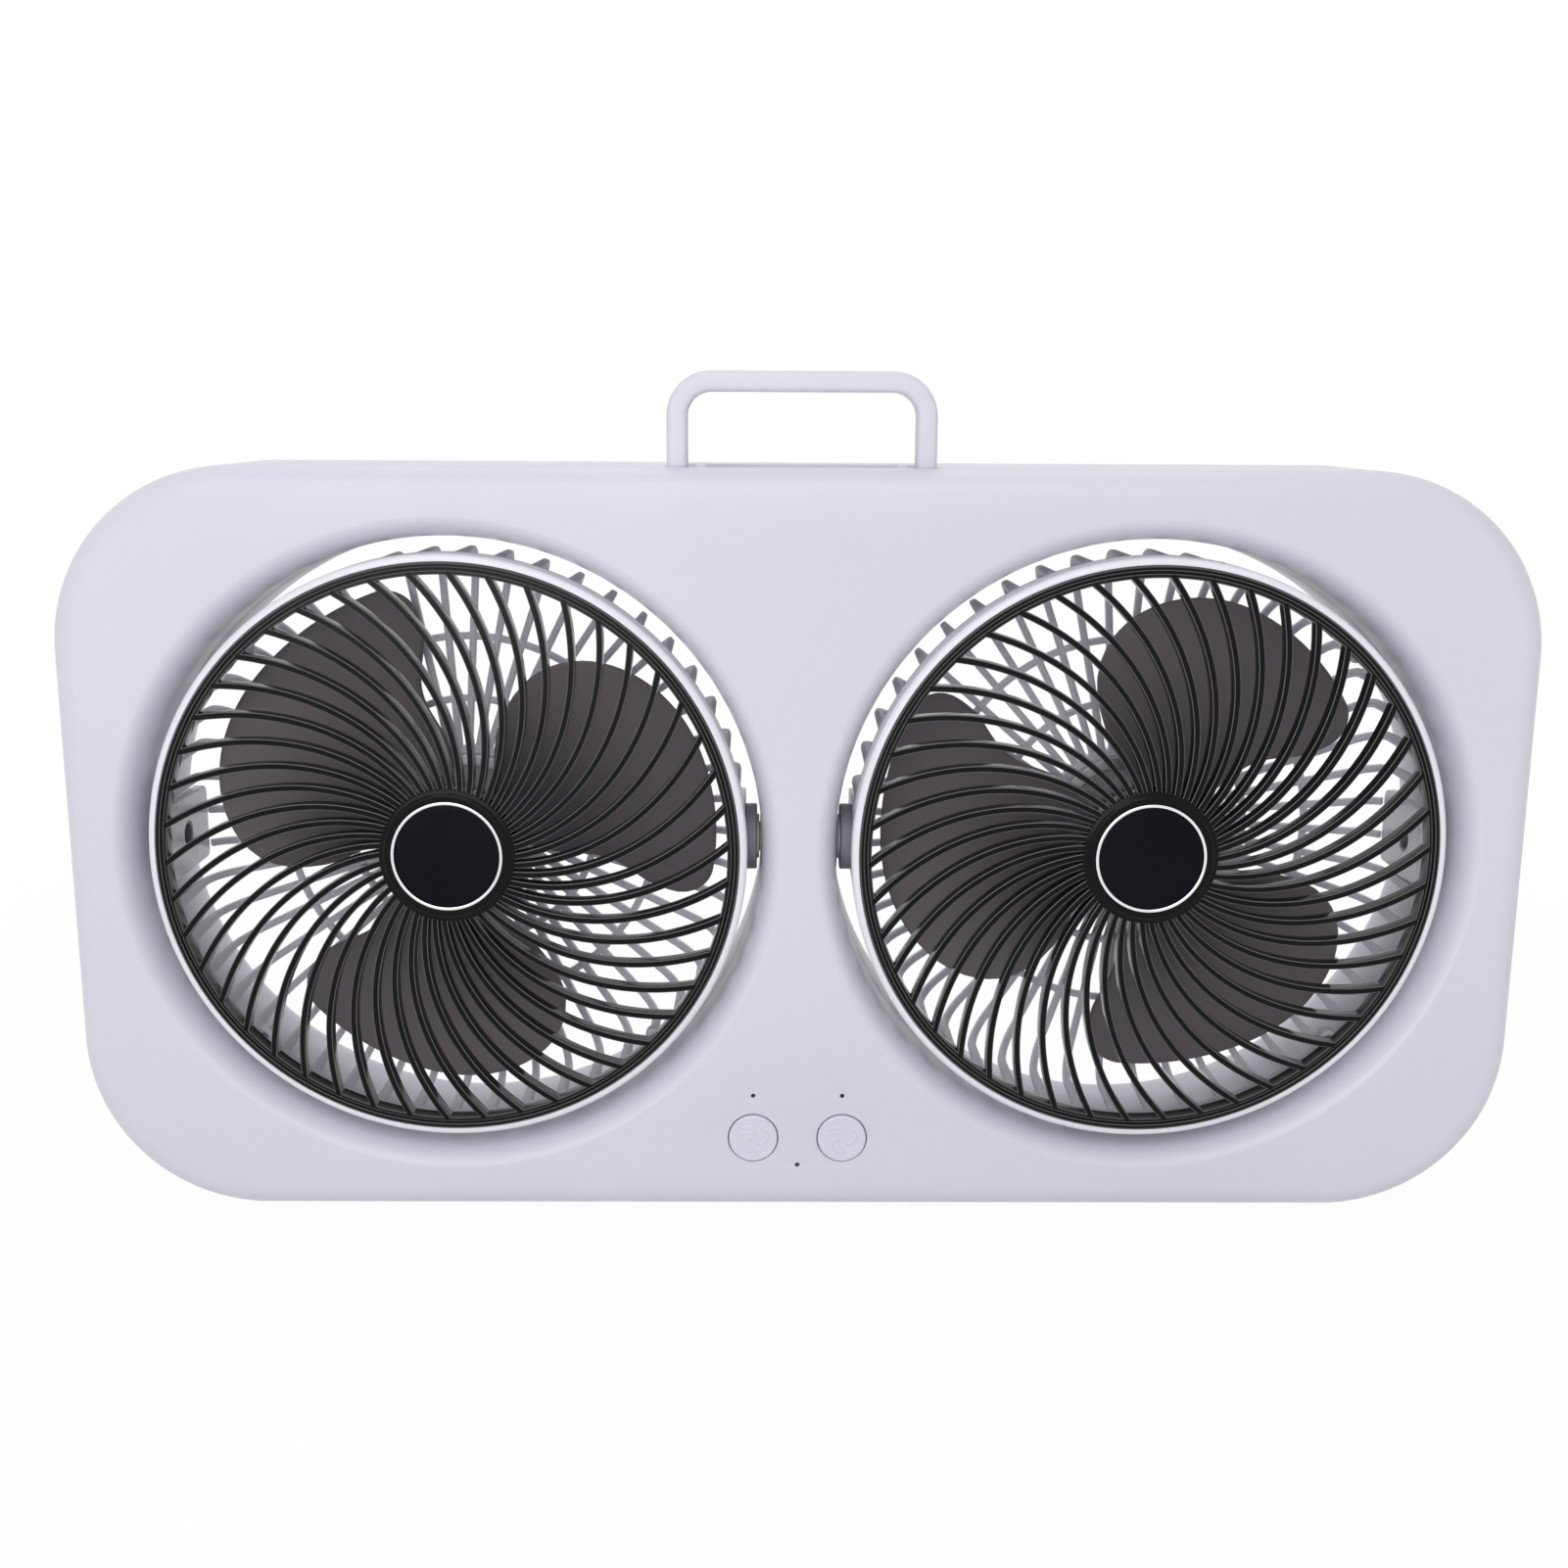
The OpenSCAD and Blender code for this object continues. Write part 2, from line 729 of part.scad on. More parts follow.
module charging_socket() {
    shell_t = 0.35;
    back_t = 1.2;
    side = 1.2;
    tongue = 0.35;
    tongue_end = body_d - 1.4;
    color([0.72, 0.72, 0.74])
        difference() {
            block(-socket_w / 2, socket_w / 2, body_d - socket_len, body_d - 0.2,
                -socket_z - socket_h / 2, -socket_z + socket_h / 2);
            block(-socket_w / 2 + shell_t, socket_w / 2 - shell_t,
                body_d - socket_len + back_t, body_d + past,
                -socket_z - socket_h / 2 + shell_t, -socket_z - tongue);
            block(-socket_w / 2 + shell_t, socket_w / 2 - shell_t,
                body_d - socket_len + back_t, body_d + past,
                -socket_z + tongue, -socket_z + socket_h / 2 - shell_t);
            for (sx = [-1, 1])
                block(sx > 0 ? socket_w / 2 - side : shell_t - socket_w / 2,
                    sx > 0 ? socket_w / 2 - shell_t : side - socket_w / 2,
                    body_d - socket_len + back_t, body_d + past,
                    -socket_z - socket_h / 2 + shell_t, -socket_z + socket_h / 2 - shell_t);
            block(-socket_w / 2 + shell_t, socket_w / 2 - shell_t, tongue_end, body_d + past,
                -socket_z - tongue - slip, -socket_z + tongue + slip);
        }
}

// Small board under the charging socket, with one chip.
module charging_board() {
    top = -socket_z - socket_h / 2;
    half = socket_w / 2 + 3.5;
    front = body_d - wall - 13;
    color([0.1, 0.35, 0.2])
        union() {
            block(-half, half, front, body_d - wall - slip, top - charge_board_t, top);
            block(-5, 1, front + 1, front + 4, top - 0.1, top + 1.2);
        }
}

// Bearing block of one pivot, with a nose through the housing's tube.
module bearing(side, dir) {
    color([0.45, 0.45, 0.48])
        at_pivot(side, dir)
            difference() {
                union() {
                    translate([-block_half, -block_half, block_in])
                        cube([2 * block_half, 2 * block_half, block_out - block_in]);
                    translate([0, 0, nose_face])
                        cylinder(r = nose_r, h = block_out - nose_face);
                }
                translate([0, 0, nose_face - past])
                    cylinder(r = axle_r + run_fit, h = block_out - nose_face + 2 * past);
            }
}

// White hoop of a head, with a flat pad on each side for the pivots.
module hoop(side) {
    arc = [for (i = [0:6]) let (a = 90 * i / 6)
        [hoop_r - hoop_round * (1 - sin(a)), hoop_front + hoop_round * (1 - cos(a))]];
    color([0.9, 0.9, 0.93])
        at_head(side)
            difference() {
                union() {
                    rotate_extrude()
                        polygon(concat([[rim_r + slip, hoop_front]], arc,
                            [[hoop_r, hoop_depth], [seat_in, hoop_depth],
                            [seat_in, rim_depth + slip], [rim_r + slip, rim_depth + slip]]));
                    for (sx = [-1, 1])
                        translate([sx > 0 ? pad_in : -pad_out, -pad_half, pad_front])
                            cube([pad_t, 2 * pad_half, pad_back - pad_front]);
                    for (k = [0:3])
                        rotate(45 + 90 * k)
                            translate([lug_at, 0, rim_depth + slip + step_in])
                                cylinder(r = lug_r, h = hoop_depth - rim_depth - slip - 2 * step_in);
                }
                for (k = [0:3])
                    rotate(45 + 90 * k)
                        translate([lug_at, 0, lug_screw_tip_d - 0.3])
                            cylinder(r = lug_screw_r + run_fit, h = hoop_depth);
                for (dir = [-1, 1])
                    translate([dir * (pad_in - past), 0, pivot_d])
                        rotate([0, 90 * dir, 0])
                            cylinder(r = spigot_r + slip, h = pad_t + 2 * past);
            }
}

// Outline of one curved front rib, as wide as rib_w along its whole length.
module rib_outline() {
    r0 = boss_r - joined;
    r1 = rim_in + joined;
    line = [for (i = [0:rib_steps]) let (r = r0 + (r1 - r0) * i / rib_steps,
        a = rib_phase - rib_slope * (r - boss_r)) [r * cos(a), r * sin(a)]];
    side = [for (i = [0:rib_steps])
        let (v = line[min(i + 1, rib_steps)] - line[max(i - 1, 0)]) [-v[1], v[0]] / norm(v)];
    polygon(concat([for (i = [0:rib_steps]) line[i] + side[i] * rib_w / 2],
        [for (i = [rib_steps:-1:0]) line[i] - side[i] * rib_w / 2]));
}

module front_grille(side) {
    groove = 0.9;
    color([0.05, 0.05, 0.055])
        at_head(side)
            difference() {
                union() {
                    linear_extrude(rib_depth)
                        for (k = [0:rib_count - 1])
                            rotate(360 * k / rib_count)
                                rib_outline();
                    band(rim_r, rim_in, 0, rim_depth);
                    translate([0, 0, -boss_proud])
                        cylinder(r = boss_r, h = boss_proud + rim_depth);
                }
                translate([0, 0, -past])
                    difference() {
                        cylinder(r = rim_r - 1.3, h = past + 0.7);
                        translate([0, 0, -past])
                            cylinder(r = rim_r - 1.3 - groove, h = 3 * past);
                    }
                translate([0, 0, -boss_proud - past])
                    cylinder(r = cap_r + trim_w + slip, h = past + 1);
                translate([0, 0, 1.5])
                    cylinder(r = boss_r - 2.5, h = rim_depth);
            }
}

module hub_cap(side) {
    color([0.06, 0.07, 0.1])
        at_head(side)
            translate([0, 0, 1 - boss_proud - 0.95])
                cylinder(r = cap_r - slip, h = 0.95);
}

module hub_ring(side) {
    color([0.8, 0.81, 0.83])
        at_head(side)
            band(cap_r + trim_w, cap_r, -boss_proud - trim_proud, 1 - boss_proud);
}

// Side view of one rear rib: down the side wall, round the shoulder and in to the motor.
module cage_rib_outline() {
    back = cage_depth;
    inner_r = shoulder_r - cage_rib_t;
    cx = cage_wall_r - shoulder_r;
    cy = back - shoulder_r;
    steps = 5;
    outer = [for (i = [0:steps]) let (a = 90 * i / steps)
        [cx + shoulder_r * cos(a), cy + shoulder_r * sin(a)]];
    inner = [for (i = [steps:-1:0]) let (a = 90 * i / steps)
        [cx + inner_r * cos(a), cy + inner_r * sin(a)]];
    polygon(concat([[cage_wall_r, hoop_depth + step_in]], outer, [[plate_r - 2, back],
        [plate_r - 2, back - cage_rib_t]], inner, [[cage_in, hoop_depth + step_in]]));
}

module rear_grille(side) {
    ring_half = 1.1;
    ring_in = 0.3;
    color([0.84, 0.84, 0.88])
        at_head(side)
            difference() {
                union() {
                    for (k = [0:cage_ribs - 1])
                        rotate(cage_phase + 360 * k / cage_ribs)
                            translate([0, cage_rib_w / 2 - cage_lean, 0])
                                rotate([90, 0, 0])
                                    linear_extrude(cage_rib_w)
                                        cage_rib_outline();
                    for (r = [ring_inner_r, ring_outer_r])
                        band(r + ring_half, r - ring_half, rib_front_d + ring_in, cage_depth - ring_in);
                    band(cage_wall_r + ring_in, seat_in, hoop_depth, hoop_depth + cage_ring_t);
                    translate([0, 0, plate_d])
                        cylinder(r = plate_r, h = plate_back_d - plate_d);
                    for (k = [0:3])
                        rotate(45 + 90 * k)
                            translate([lug_at, 0, hoop_depth + step_in])
                                cylinder(r = lug_r, h = lug_back - hoop_depth - step_in);
                }
                for (sx = [-1, 1])
                    translate([sx > 0 ? pad_in - free_gap : -pad_out - 5, -pad_half - free_gap,
                        hoop_depth - past])
                        cube([pad_t + 5 + free_gap, 2 * pad_half + 2 * free_gap,
                            pad_back + free_gap - hoop_depth + past]);
                for (k = [0:3])
                    rotate(45 + 90 * k)
                        translate([lug_at, 0, hoop_depth - past]) {
                            cylinder(r = lug_screw_r + 0.2, h = lug_back - hoop_depth + 2 * past);
                            translate([0, 0, lug_back - hoop_depth + past])
                                cylinder(r = lug_r - 0.3, h = 12);
                        }
                for (k = [0:2])
                    rotate(30 + 120 * k)
                        translate([motor_screw_at, 0, plate_d - past])
                            cylinder(r = motor_screw_r + 0.1, h = plate_back_d - plate_d + 2 * past);
                translate([0, 0, plate_d - past])
                    cylinder(r = motor_neck_r, h = plate_back_d - plate_d + 2 * past);
            }
}

module cage_screws(side) {
    color([0.6, 0.6, 0.62])
        at_head(side)
            for (k = [0:3])
                rotate(45 + 90 * k)
                    translate([lug_at, 0, 0]) {
                        translate([0, 0, lug_screw_tip_d])
                            cylinder(r = lug_screw_r, h = lug_back - lug_screw_tip_d + joined);
                        translate([0, 0, lug_back])
                            cylinder(r = 2 * lug_screw_r, h = 1.4);
                    }
}

module motor(side) {
    color([0.66, 0.66, 0.68])
        at_head(side)
            difference() {
                union() {
                    translate([0, 0, motor_front])
                        cylinder(r = motor_r, h = plate_d - motor_front);
                    translate([0, 0, plate_d - motor_flange_t])
                        cylinder(r = motor_flange_r, h = motor_flange_t);
                    translate([0, 0, motor_front - motor_neck_t])
                        cylinder(r = motor_neck_r, h = motor_neck_t + joined);
                }
                translate([0, 0, motor_front - motor_neck_t - past])
                    cylinder(r = shaft_r + run_fit, h = plate_d - motor_front + motor_neck_t);
                for (k = [0:2])
                    rotate(30 + 120 * k)
                        translate([motor_screw_at, 0, plate_d - 2.4])
                            cylinder(r = motor_screw_r + 0.05, h = 4);
            }
}

module motor_cover(side) {
    r = plate_r - 0.6;
    soft = 1.6;
    color([0.84, 0.84, 0.88])
        at_head(side)
            difference() {
                translate([0, 0, plate_back_d])
                    rotate_extrude()
                        union() {
                            square([r - soft, cover_depth]);
                            square([r, cover_depth - soft]);
                            translate([r - soft, cover_depth - soft])
                                circle(r = soft);
                        }
                translate([0, 0, plate_back_d - past])
                    cylinder(r = r - cover_wall, h = cover_depth - cover_wall + past);
            }
}

module motor_screws(side) {
    color([0.6, 0.6, 0.62])
        at_head(side)
            for (k = [0:2])
                rotate(30 + 120 * k)
                    translate([motor_screw_at, 0, 0]) {
                        translate([0, 0, plate_d - 2])
                            cylinder(r = motor_screw_r, h = plate_back_d - plate_d + 2 + joined);
                        translate([0, 0, plate_back_d])
                            cylinder(r = 2.2, h = 1.4);
                    }
}

// Hollow pivot: spigot in the hoop's pad, flange in the gap and axle in the bearing.
module pivot(side, dir) {
    color([0.45, 0.45, 0.48])
        at_pivot(side, dir)
            difference() {
                union() {
                    translate([0, 0, pad_in + 0.2])
                        cylinder(r = spigot_r, h = flange_out - pad_in - 0.2);
                    translate([0, 0, pad_out])
                        cylinder(r = flange_r, h = flange_out - pad_out);
                    translate([0, 0, flange_out - joined])
                        cylinder(r = axle_r, h = block_out - 0.4 - flange_out + joined);
                }
                translate([0, 0, pad_in - past])
                    cylinder(r = wire_r, h = block_out - pad_in + 2 * past);
            }
}

module friction_washers(side) {
    color([0.85, 0.83, 0.76])
        for (dir = [-1, 1])
            at_pivot(side, dir)
                band(washer_r, axle_r + run_fit, flange_out, flange_out + washer_t);
}

// Tip radius of a blade at share s of its span, from the trailing to the leading edge:
// a round rise, a level tip and a rounded corner.
function tip_radius(s) = let (
    trail = 1 - pow(1 - min(1, s / trail_share), trail_power),
    lead = max(0, s - 1 + lead_share) / lead_share)
    trail_r + (blade_r - trail_r) * pow(trail, 1 / trail_power)
        - lead_drop * (1 - sqrt(max(0, 1 - lead * lead)));

// Angle of a blade's point at share s and radius r, from the blade's middle. The trailing edge
// is cut back at the hub, and the leading edge is drawn in halfway out.
function blade_angle(s, r) = let (
    near = min(1, (r - hub_r + 1) / (trail_r - hub_r + 1)),
    out = max(0, min(1, (r - bow_from) / (bow_to - bow_from))))
    blade_span * (s - 0.5) + trail_cut * (1 - s) * pow(1 - near, 2)
        - lead_bow * s * pow(sin(180 * out), 2);

// Point of a blade: share s along its span, share t from hub to tip, raised by lift.
// Its depth grows evenly with its angle, so the leading edge lies deepest.
function blade_point(s, t, lift) = let (
    r = hub_r - 1 + (tip_radius(s) - hub_r + 1) * t,
    a = blade_angle(s, r))
    [r * cos(a), r * sin(a), blade_mid + blade_rise * a / blade_span + lift];

// One blade: a pitched sheet with a petal outline, given its thickness.
module blade() {
    across = 18;
    along = 7;
    layer = (across + 1) * (along + 1);
    points = [for (k = [0, 1], i = [0:across], j = [0:along])
        blade_point(i / across, j / along, (k - 0.5) * blade_t)];
    function at(i, j, k) = k * layer + i * (along + 1) + j;
    function pair(a, b, c, d) = [[a, b, c], [a, c, d]];
    faces = concat(
        [for (i = [0:across - 1], j = [0:along - 1])
            each pair(at(i, j, 0), at(i, j + 1, 0), at(i + 1, j + 1, 0), at(i + 1, j, 0))],
        [for (i = [0:across - 1], j = [0:along - 1])
            each pair(at(i, j, 1), at(i + 1, j, 1), at(i + 1, j + 1, 1), at(i, j + 1, 1))],
        [for (i = [0:across - 1])
            each pair(at(i, 0, 0), at(i + 1, 0, 0), at(i + 1, 0, 1), at(i, 0, 1))],
        [for (i = [0:across - 1])
            each pair(at(i + 1, along, 0), at(i, along, 0), at(i, along, 1), at(i + 1, along, 1))],
        [for (j = [0:along - 1])
            each pair(at(0, j + 1, 0), at(0, j, 0), at(0, j, 1), at(0, j + 1, 1))],
        [for (j = [0:along - 1])
            each pair(at(across, j, 0), at(across, j + 1, 0), at(across, j + 1, 1), at(across, j, 1))]);
    polyhedron(points, faces);
}

module fan(side) {
    color([0.28, 0.27, 0.27])
        at_head(side)
            difference() {
                union() {
                    difference() {
                        translate([0, 0, hub_front])
                            cylinder(r = hub_r, h = hub_back - hub_front);
                        translate([0, 0, hub_front + hub_wall])
                            cylinder(r = hub_r - hub_wall, h = hub_back);
                    }
                    translate([0, 0, hub_front])
                        cylinder(r = motor_neck_r, h = motor_front - motor_neck_t - joined - hub_front);
                    for (k = [0:blade_count - 1])
                        rotate((side < 0 ? left_turn : right_turn) + 360 * k / blade_count)
                            blade();
                }
                translate([0, 0, hub_front - past])
                    cylinder(r = shaft_r + press_fit, h = motor_front - hub_front);
            }
}

module fan_shaft(side) {
    color([0.7, 0.7, 0.72])
        at_head(side)
            translate([0, 0, shaft_front])
                cylinder(r = shaft_r, h = plate_d - 1.5 - shaft_front);
}

module fan_nut(side) {
    color([0.12, 0.12, 0.13])
        at_head(side)
            difference() {
                translate([0, 0, hub_front - nut_t])
                    cylinder(r = nut_r, h = nut_t);
                translate([0, 0, hub_front - nut_t + 0.5])
                    cylinder(r = shaft_r + press_fit, h = nut_t);
            }
}

front_shell();
rear_shell();
rubber_feet();
shell_screws();
carry_handle();
control_board();
board_screws();
light_pipes();
battery_cells();
battery_tray();
charging_socket();
charging_board();
for (i = [0, 1]) {
    side = 2 * i - 1;
    name = sides[i];
    handle_pin(side);
    button(side);
    tact_switch(side);
    bearing(side, side);
    bearing(side, -side);
    hoop(side);
    front_grille(side);
    hub_cap(side);
    hub_ring(side);
    rear_grille(side);
    cage_screws(side);
    motor(side);
    motor_cover(side);
    motor_screws(side);
    pivot(side, side);
    pivot(side, -side);
    friction_washers(side);
    fan(side);
    fan_shaft(side);
    fan_nut(side);
}
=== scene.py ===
"""Looks of a desk fan with two tilting heads in one rounded white housing.

Sizes are in millimetres until a mesh is made, and metres from there on. Depth is
counted from the housing's face towards its back. X runs to the right and Z up, as
seen from the front.
"""

import json
import logging
import math
from dataclasses import dataclass, field
from enum import Enum
from typing import Callable, Optional, Sequence

import bmesh
import bpy
import numpy as np
from mathutils import Matrix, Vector
from mathutils.geometry import delaunay_2d_cdt
from numpy.typing import NDArray


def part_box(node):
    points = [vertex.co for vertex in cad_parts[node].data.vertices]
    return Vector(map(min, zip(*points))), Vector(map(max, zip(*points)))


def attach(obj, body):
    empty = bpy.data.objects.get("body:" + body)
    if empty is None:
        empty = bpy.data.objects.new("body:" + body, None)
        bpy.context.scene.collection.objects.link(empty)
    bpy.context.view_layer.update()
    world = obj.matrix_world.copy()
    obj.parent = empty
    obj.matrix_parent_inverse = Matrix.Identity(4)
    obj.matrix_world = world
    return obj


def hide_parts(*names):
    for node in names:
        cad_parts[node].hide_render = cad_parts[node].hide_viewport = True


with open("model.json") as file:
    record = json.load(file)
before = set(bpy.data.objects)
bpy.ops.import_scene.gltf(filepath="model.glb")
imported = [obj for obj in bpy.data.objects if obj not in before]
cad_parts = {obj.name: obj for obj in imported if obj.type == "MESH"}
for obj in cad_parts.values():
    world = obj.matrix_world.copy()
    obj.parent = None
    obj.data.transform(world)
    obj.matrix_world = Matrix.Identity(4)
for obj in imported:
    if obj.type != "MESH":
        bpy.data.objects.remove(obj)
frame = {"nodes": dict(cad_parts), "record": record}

Array = NDArray[np.float64]
Colour = tuple[float, float, float]
log = logging.getLogger("desk_fan")

MM = 0.001
FULL_TURN = 2.0 * math.pi
PHOTO_SIDE = 1601
# Mesh attribute of the painted highlight: a share, from 0 to 1, of a lighter colour painted along
# marked edges.
PAINTED_EDGE_HIGHLIGHT = "painted_edge_highlight"
MERGE_M = 2e-6
FLAT_M = 1e-7


class Side(Enum):
    """The two heads, as seen from the front."""

    LEFT = "left"
    RIGHT = "right"

    @property
    def sign(self) -> int:
        """-1 on the left and 1 on the right."""
        return -1 if self is Side.LEFT else 1


class Axis(Enum):
    """Direction that a turned shape is turned about."""

    DEPTH = "depth"
    ACROSS = "across"
    UP = "up"


def srgb(red: int, green: int, blue: int) -> Colour:
    """Linear colour of an 8-bit screen colour.

    Args:
        red, green, blue: Screen values from 0 to 255.

    Returns:
        The same colour with the screen's transfer curve undone.
    """
    c = np.array([red, green, blue]) / 255.0
    linear = np.where(c <= 0.04045, c / 12.92, ((c + 0.055) / 1.055) ** 2.4)
    return float(linear[0]), float(linear[1]), float(linear[2])


# Frame


@dataclass(frozen=True)
class Layout:
    """Main places of the fan in millimetres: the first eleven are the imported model's."""

    face_y: float
    body_d: float
    half_w: float
    half_h: float
    head_z: float
    head_x: float
    seam_d: float
    hoop_r: float
    rim_r: float
    pivot_d: float
    top_z: float
    handle_pin_d: float = 12.5
    handle_pin_sink: float = 2.0
    button_x: float = 13.4
    button_z: float = -87.9

    @classmethod
    def from_frame(cls) -> "Layout":
        """Reads the boxes of the shells and of one head."""
        front_lo, front_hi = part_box("front_shell")
        back_lo, back_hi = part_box("rear_shell")
        hoop_lo, hoop_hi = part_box("right_hoop")
        rim_lo, rim_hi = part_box("right_front_grille")
        flange_lo, flange_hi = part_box("right_outer_pivot")
        mm = 1.0 / MM
        face_y = front_lo.y * mm
        return cls(
            face_y=face_y,
            body_d=back_hi.y * mm - face_y,
            half_w=back_hi.x * mm,
            half_h=(back_hi.z - back_lo.z) * mm / 2,
            head_z=(back_hi.z + back_lo.z) * mm / 2,
            head_x=(hoop_lo.x + hoop_hi.x) * mm / 2,
            seam_d=front_hi.y * mm - face_y,
            hoop_r=(hoop_hi.x - hoop_lo.x) * mm / 2,
            rim_r=(rim_hi.x - rim_lo.x) * mm / 2,
            pivot_d=(flange_lo.y + flange_hi.y) * mm / 2 - face_y,
            top_z=back_hi.z * mm,
        )


# Curves and grids


def rounded_path(
    corners: Sequence[tuple[float, float, float]], steps: int = 6, closed: bool = True
) -> Array:
    """Polyline through corners, each of them replaced by a circular arc.

    Each arc touches both legs of its corner; its points step evenly in angle.

    Args:
        corners: Points as (x, y, radius of the corner).
        steps: Spans of each arc.
        closed: Whether the last point joins the first.

    Returns:
        Points of the path, one row each.
    """
    pts = np.array([c[:2] for c in corners], float)
    out: list[Array] = []
    n = len(corners)
    for i, (_, _, radius) in enumerate(corners):
        at = pts[i]
        if radius <= 0 or (not closed and i in (0, n - 1)):
            out.append(at[None, :])
            continue
        to_prev = pts[i - 1] - at
        to_next = pts[(i + 1) % n] - at
        a = to_prev / np.linalg.norm(to_prev)
        b = to_next / np.linalg.norm(to_next)
        half = math.acos(float(np.clip(a @ b, -1, 1))) / 2
        reach = radius / math.tan(half)
        bisector = (a + b) / np.linalg.norm(a + b)
        centre = at + bisector * radius / math.sin(half)
        first = at + a * reach - centre
        last = at + b * reach - centre
        angle = math.atan2(first[0] * last[1] - first[1] * last[0], first @ last)
        t = np.linspace(0, angle, steps + 1)[:, None]
        perp = np.array([-first[1], first[0]])
        out.append(centre + first * np.cos(t) + perp * np.sin(t))
    return np.vstack(out)


def round_bar(width: float, height: float, radius: float, steps: int = 4) -> Array:
    """Closed rounded rectangle about the origin, anticlockwise."""
    w, h = width / 2, height / 2
    corners = ((w, -h), (w, h), (-w, h), (-w, -h))
    return rounded_path([(x, y, radius) for x, y in corners], steps)


def ring(radius: float, count: int, centre: tuple[float, float] = (0.0, 0.0)) -> Array:
    """Closed circle of points, anticlockwise, starting at its right."""
    a = np.linspace(0, FULL_TURN, count, endpoint=False)
    return np.column_stack([centre[0] + radius * np.cos(a), centre[1] + radius * np.sin(a)])


def lathe(
    profile: Array,
    centre: tuple[float, float, float],
    axis: Axis = Axis.DEPTH,
    count: int = 96,
    arc: tuple[float, float] = (0.0, FULL_TURN),
) -> Array:
    """Grid swept by a profile that turns about an axis.

    A profile point (r, h) at angle a lies r cos a and r sin a off the axis and h along it.

    Args:
        profile: Rows of (radius, place along the axis).
        centre: Point on the axis where the place along it is 0.
        axis: Direction of the axis.
        count: Columns round a full turn.
        arc: First and last angle; a full turn closes on itself.

    Returns:
        Points indexed by (angle, profile point, xyz).
    """
    full = abs(arc[1] - arc[0] - FULL_TURN) < 1e-9
    a = np.linspace(arc[0], arc[1], count + (0 if full else 1), endpoint=not full)[:, None]
    r, h = profile[:, 0][None, :], profile[:, 1][None, :]
    along = np.broadcast_to(h, (a.shape[0], h.shape[1]))
    first, second = r * np.cos(a), r * np.sin(a)
    order = {
        Axis.DEPTH: (first, along, second),
        Axis.ACROSS: (along, first, second),
        Axis.UP: (first, second, along),
    }[axis]
    return np.stack(order, axis=-1) + np.array(centre)


def sweep(path: Array, side: Array, up: Array, section: Array) -> Array:
    """Grid of a closed section carried along a path.

    Point (u, v) is path[u] + section[v].x side[u] + section[v].y up[u].

    Args:
        path: Places along the path.
        side: The section's first direction at each place.
        up: The section's second direction at each place.
        section: Points of the section, or one section for each place.

    Returns:
        Points indexed by (place, section point, xyz).
    """
    if section.ndim == 2:
        section = np.broadcast_to(section, (len(path), *section.shape))
    return path[:, None] + section[..., 0:1] * side[:, None] + section[..., 1:2] * up[:, None]


def stretched(section: Array, grow: Array) -> Array:
    """One section for each place: its second direction times the growth there."""
    across = np.broadcast_to(section[:, 0], (len(grow), len(section)))
    return np.stack([across, grow[:, None] * section[None, :, 1]], axis=-1)


def quarter(steps: int) -> Array:
    """Angles of a quarter turn in even steps."""
    return np.linspace(0, math.pi / 2, steps + 1)


def four(x: float, z: float) -> list[tuple[float, float]]:
    """The four points at a distance across and up, either way."""
    return [(sx * x, sz * z) for sx in (-1, 1) for sz in (-1, 1)]


def flip(rows: Array) -> Array:
    """Rows of (x, y) mirrored to the other side and put in the opposite order."""
    return (rows * [-1, 1])[::-1]


def smoothstep(low: float, high: float, value: Array) -> Array:
    """0 below low and 1 above high, with a smooth rise between."""
    t = np.clip((value - low) / (high - low), 0, 1)
    return t * t * (3 - 2 * t)


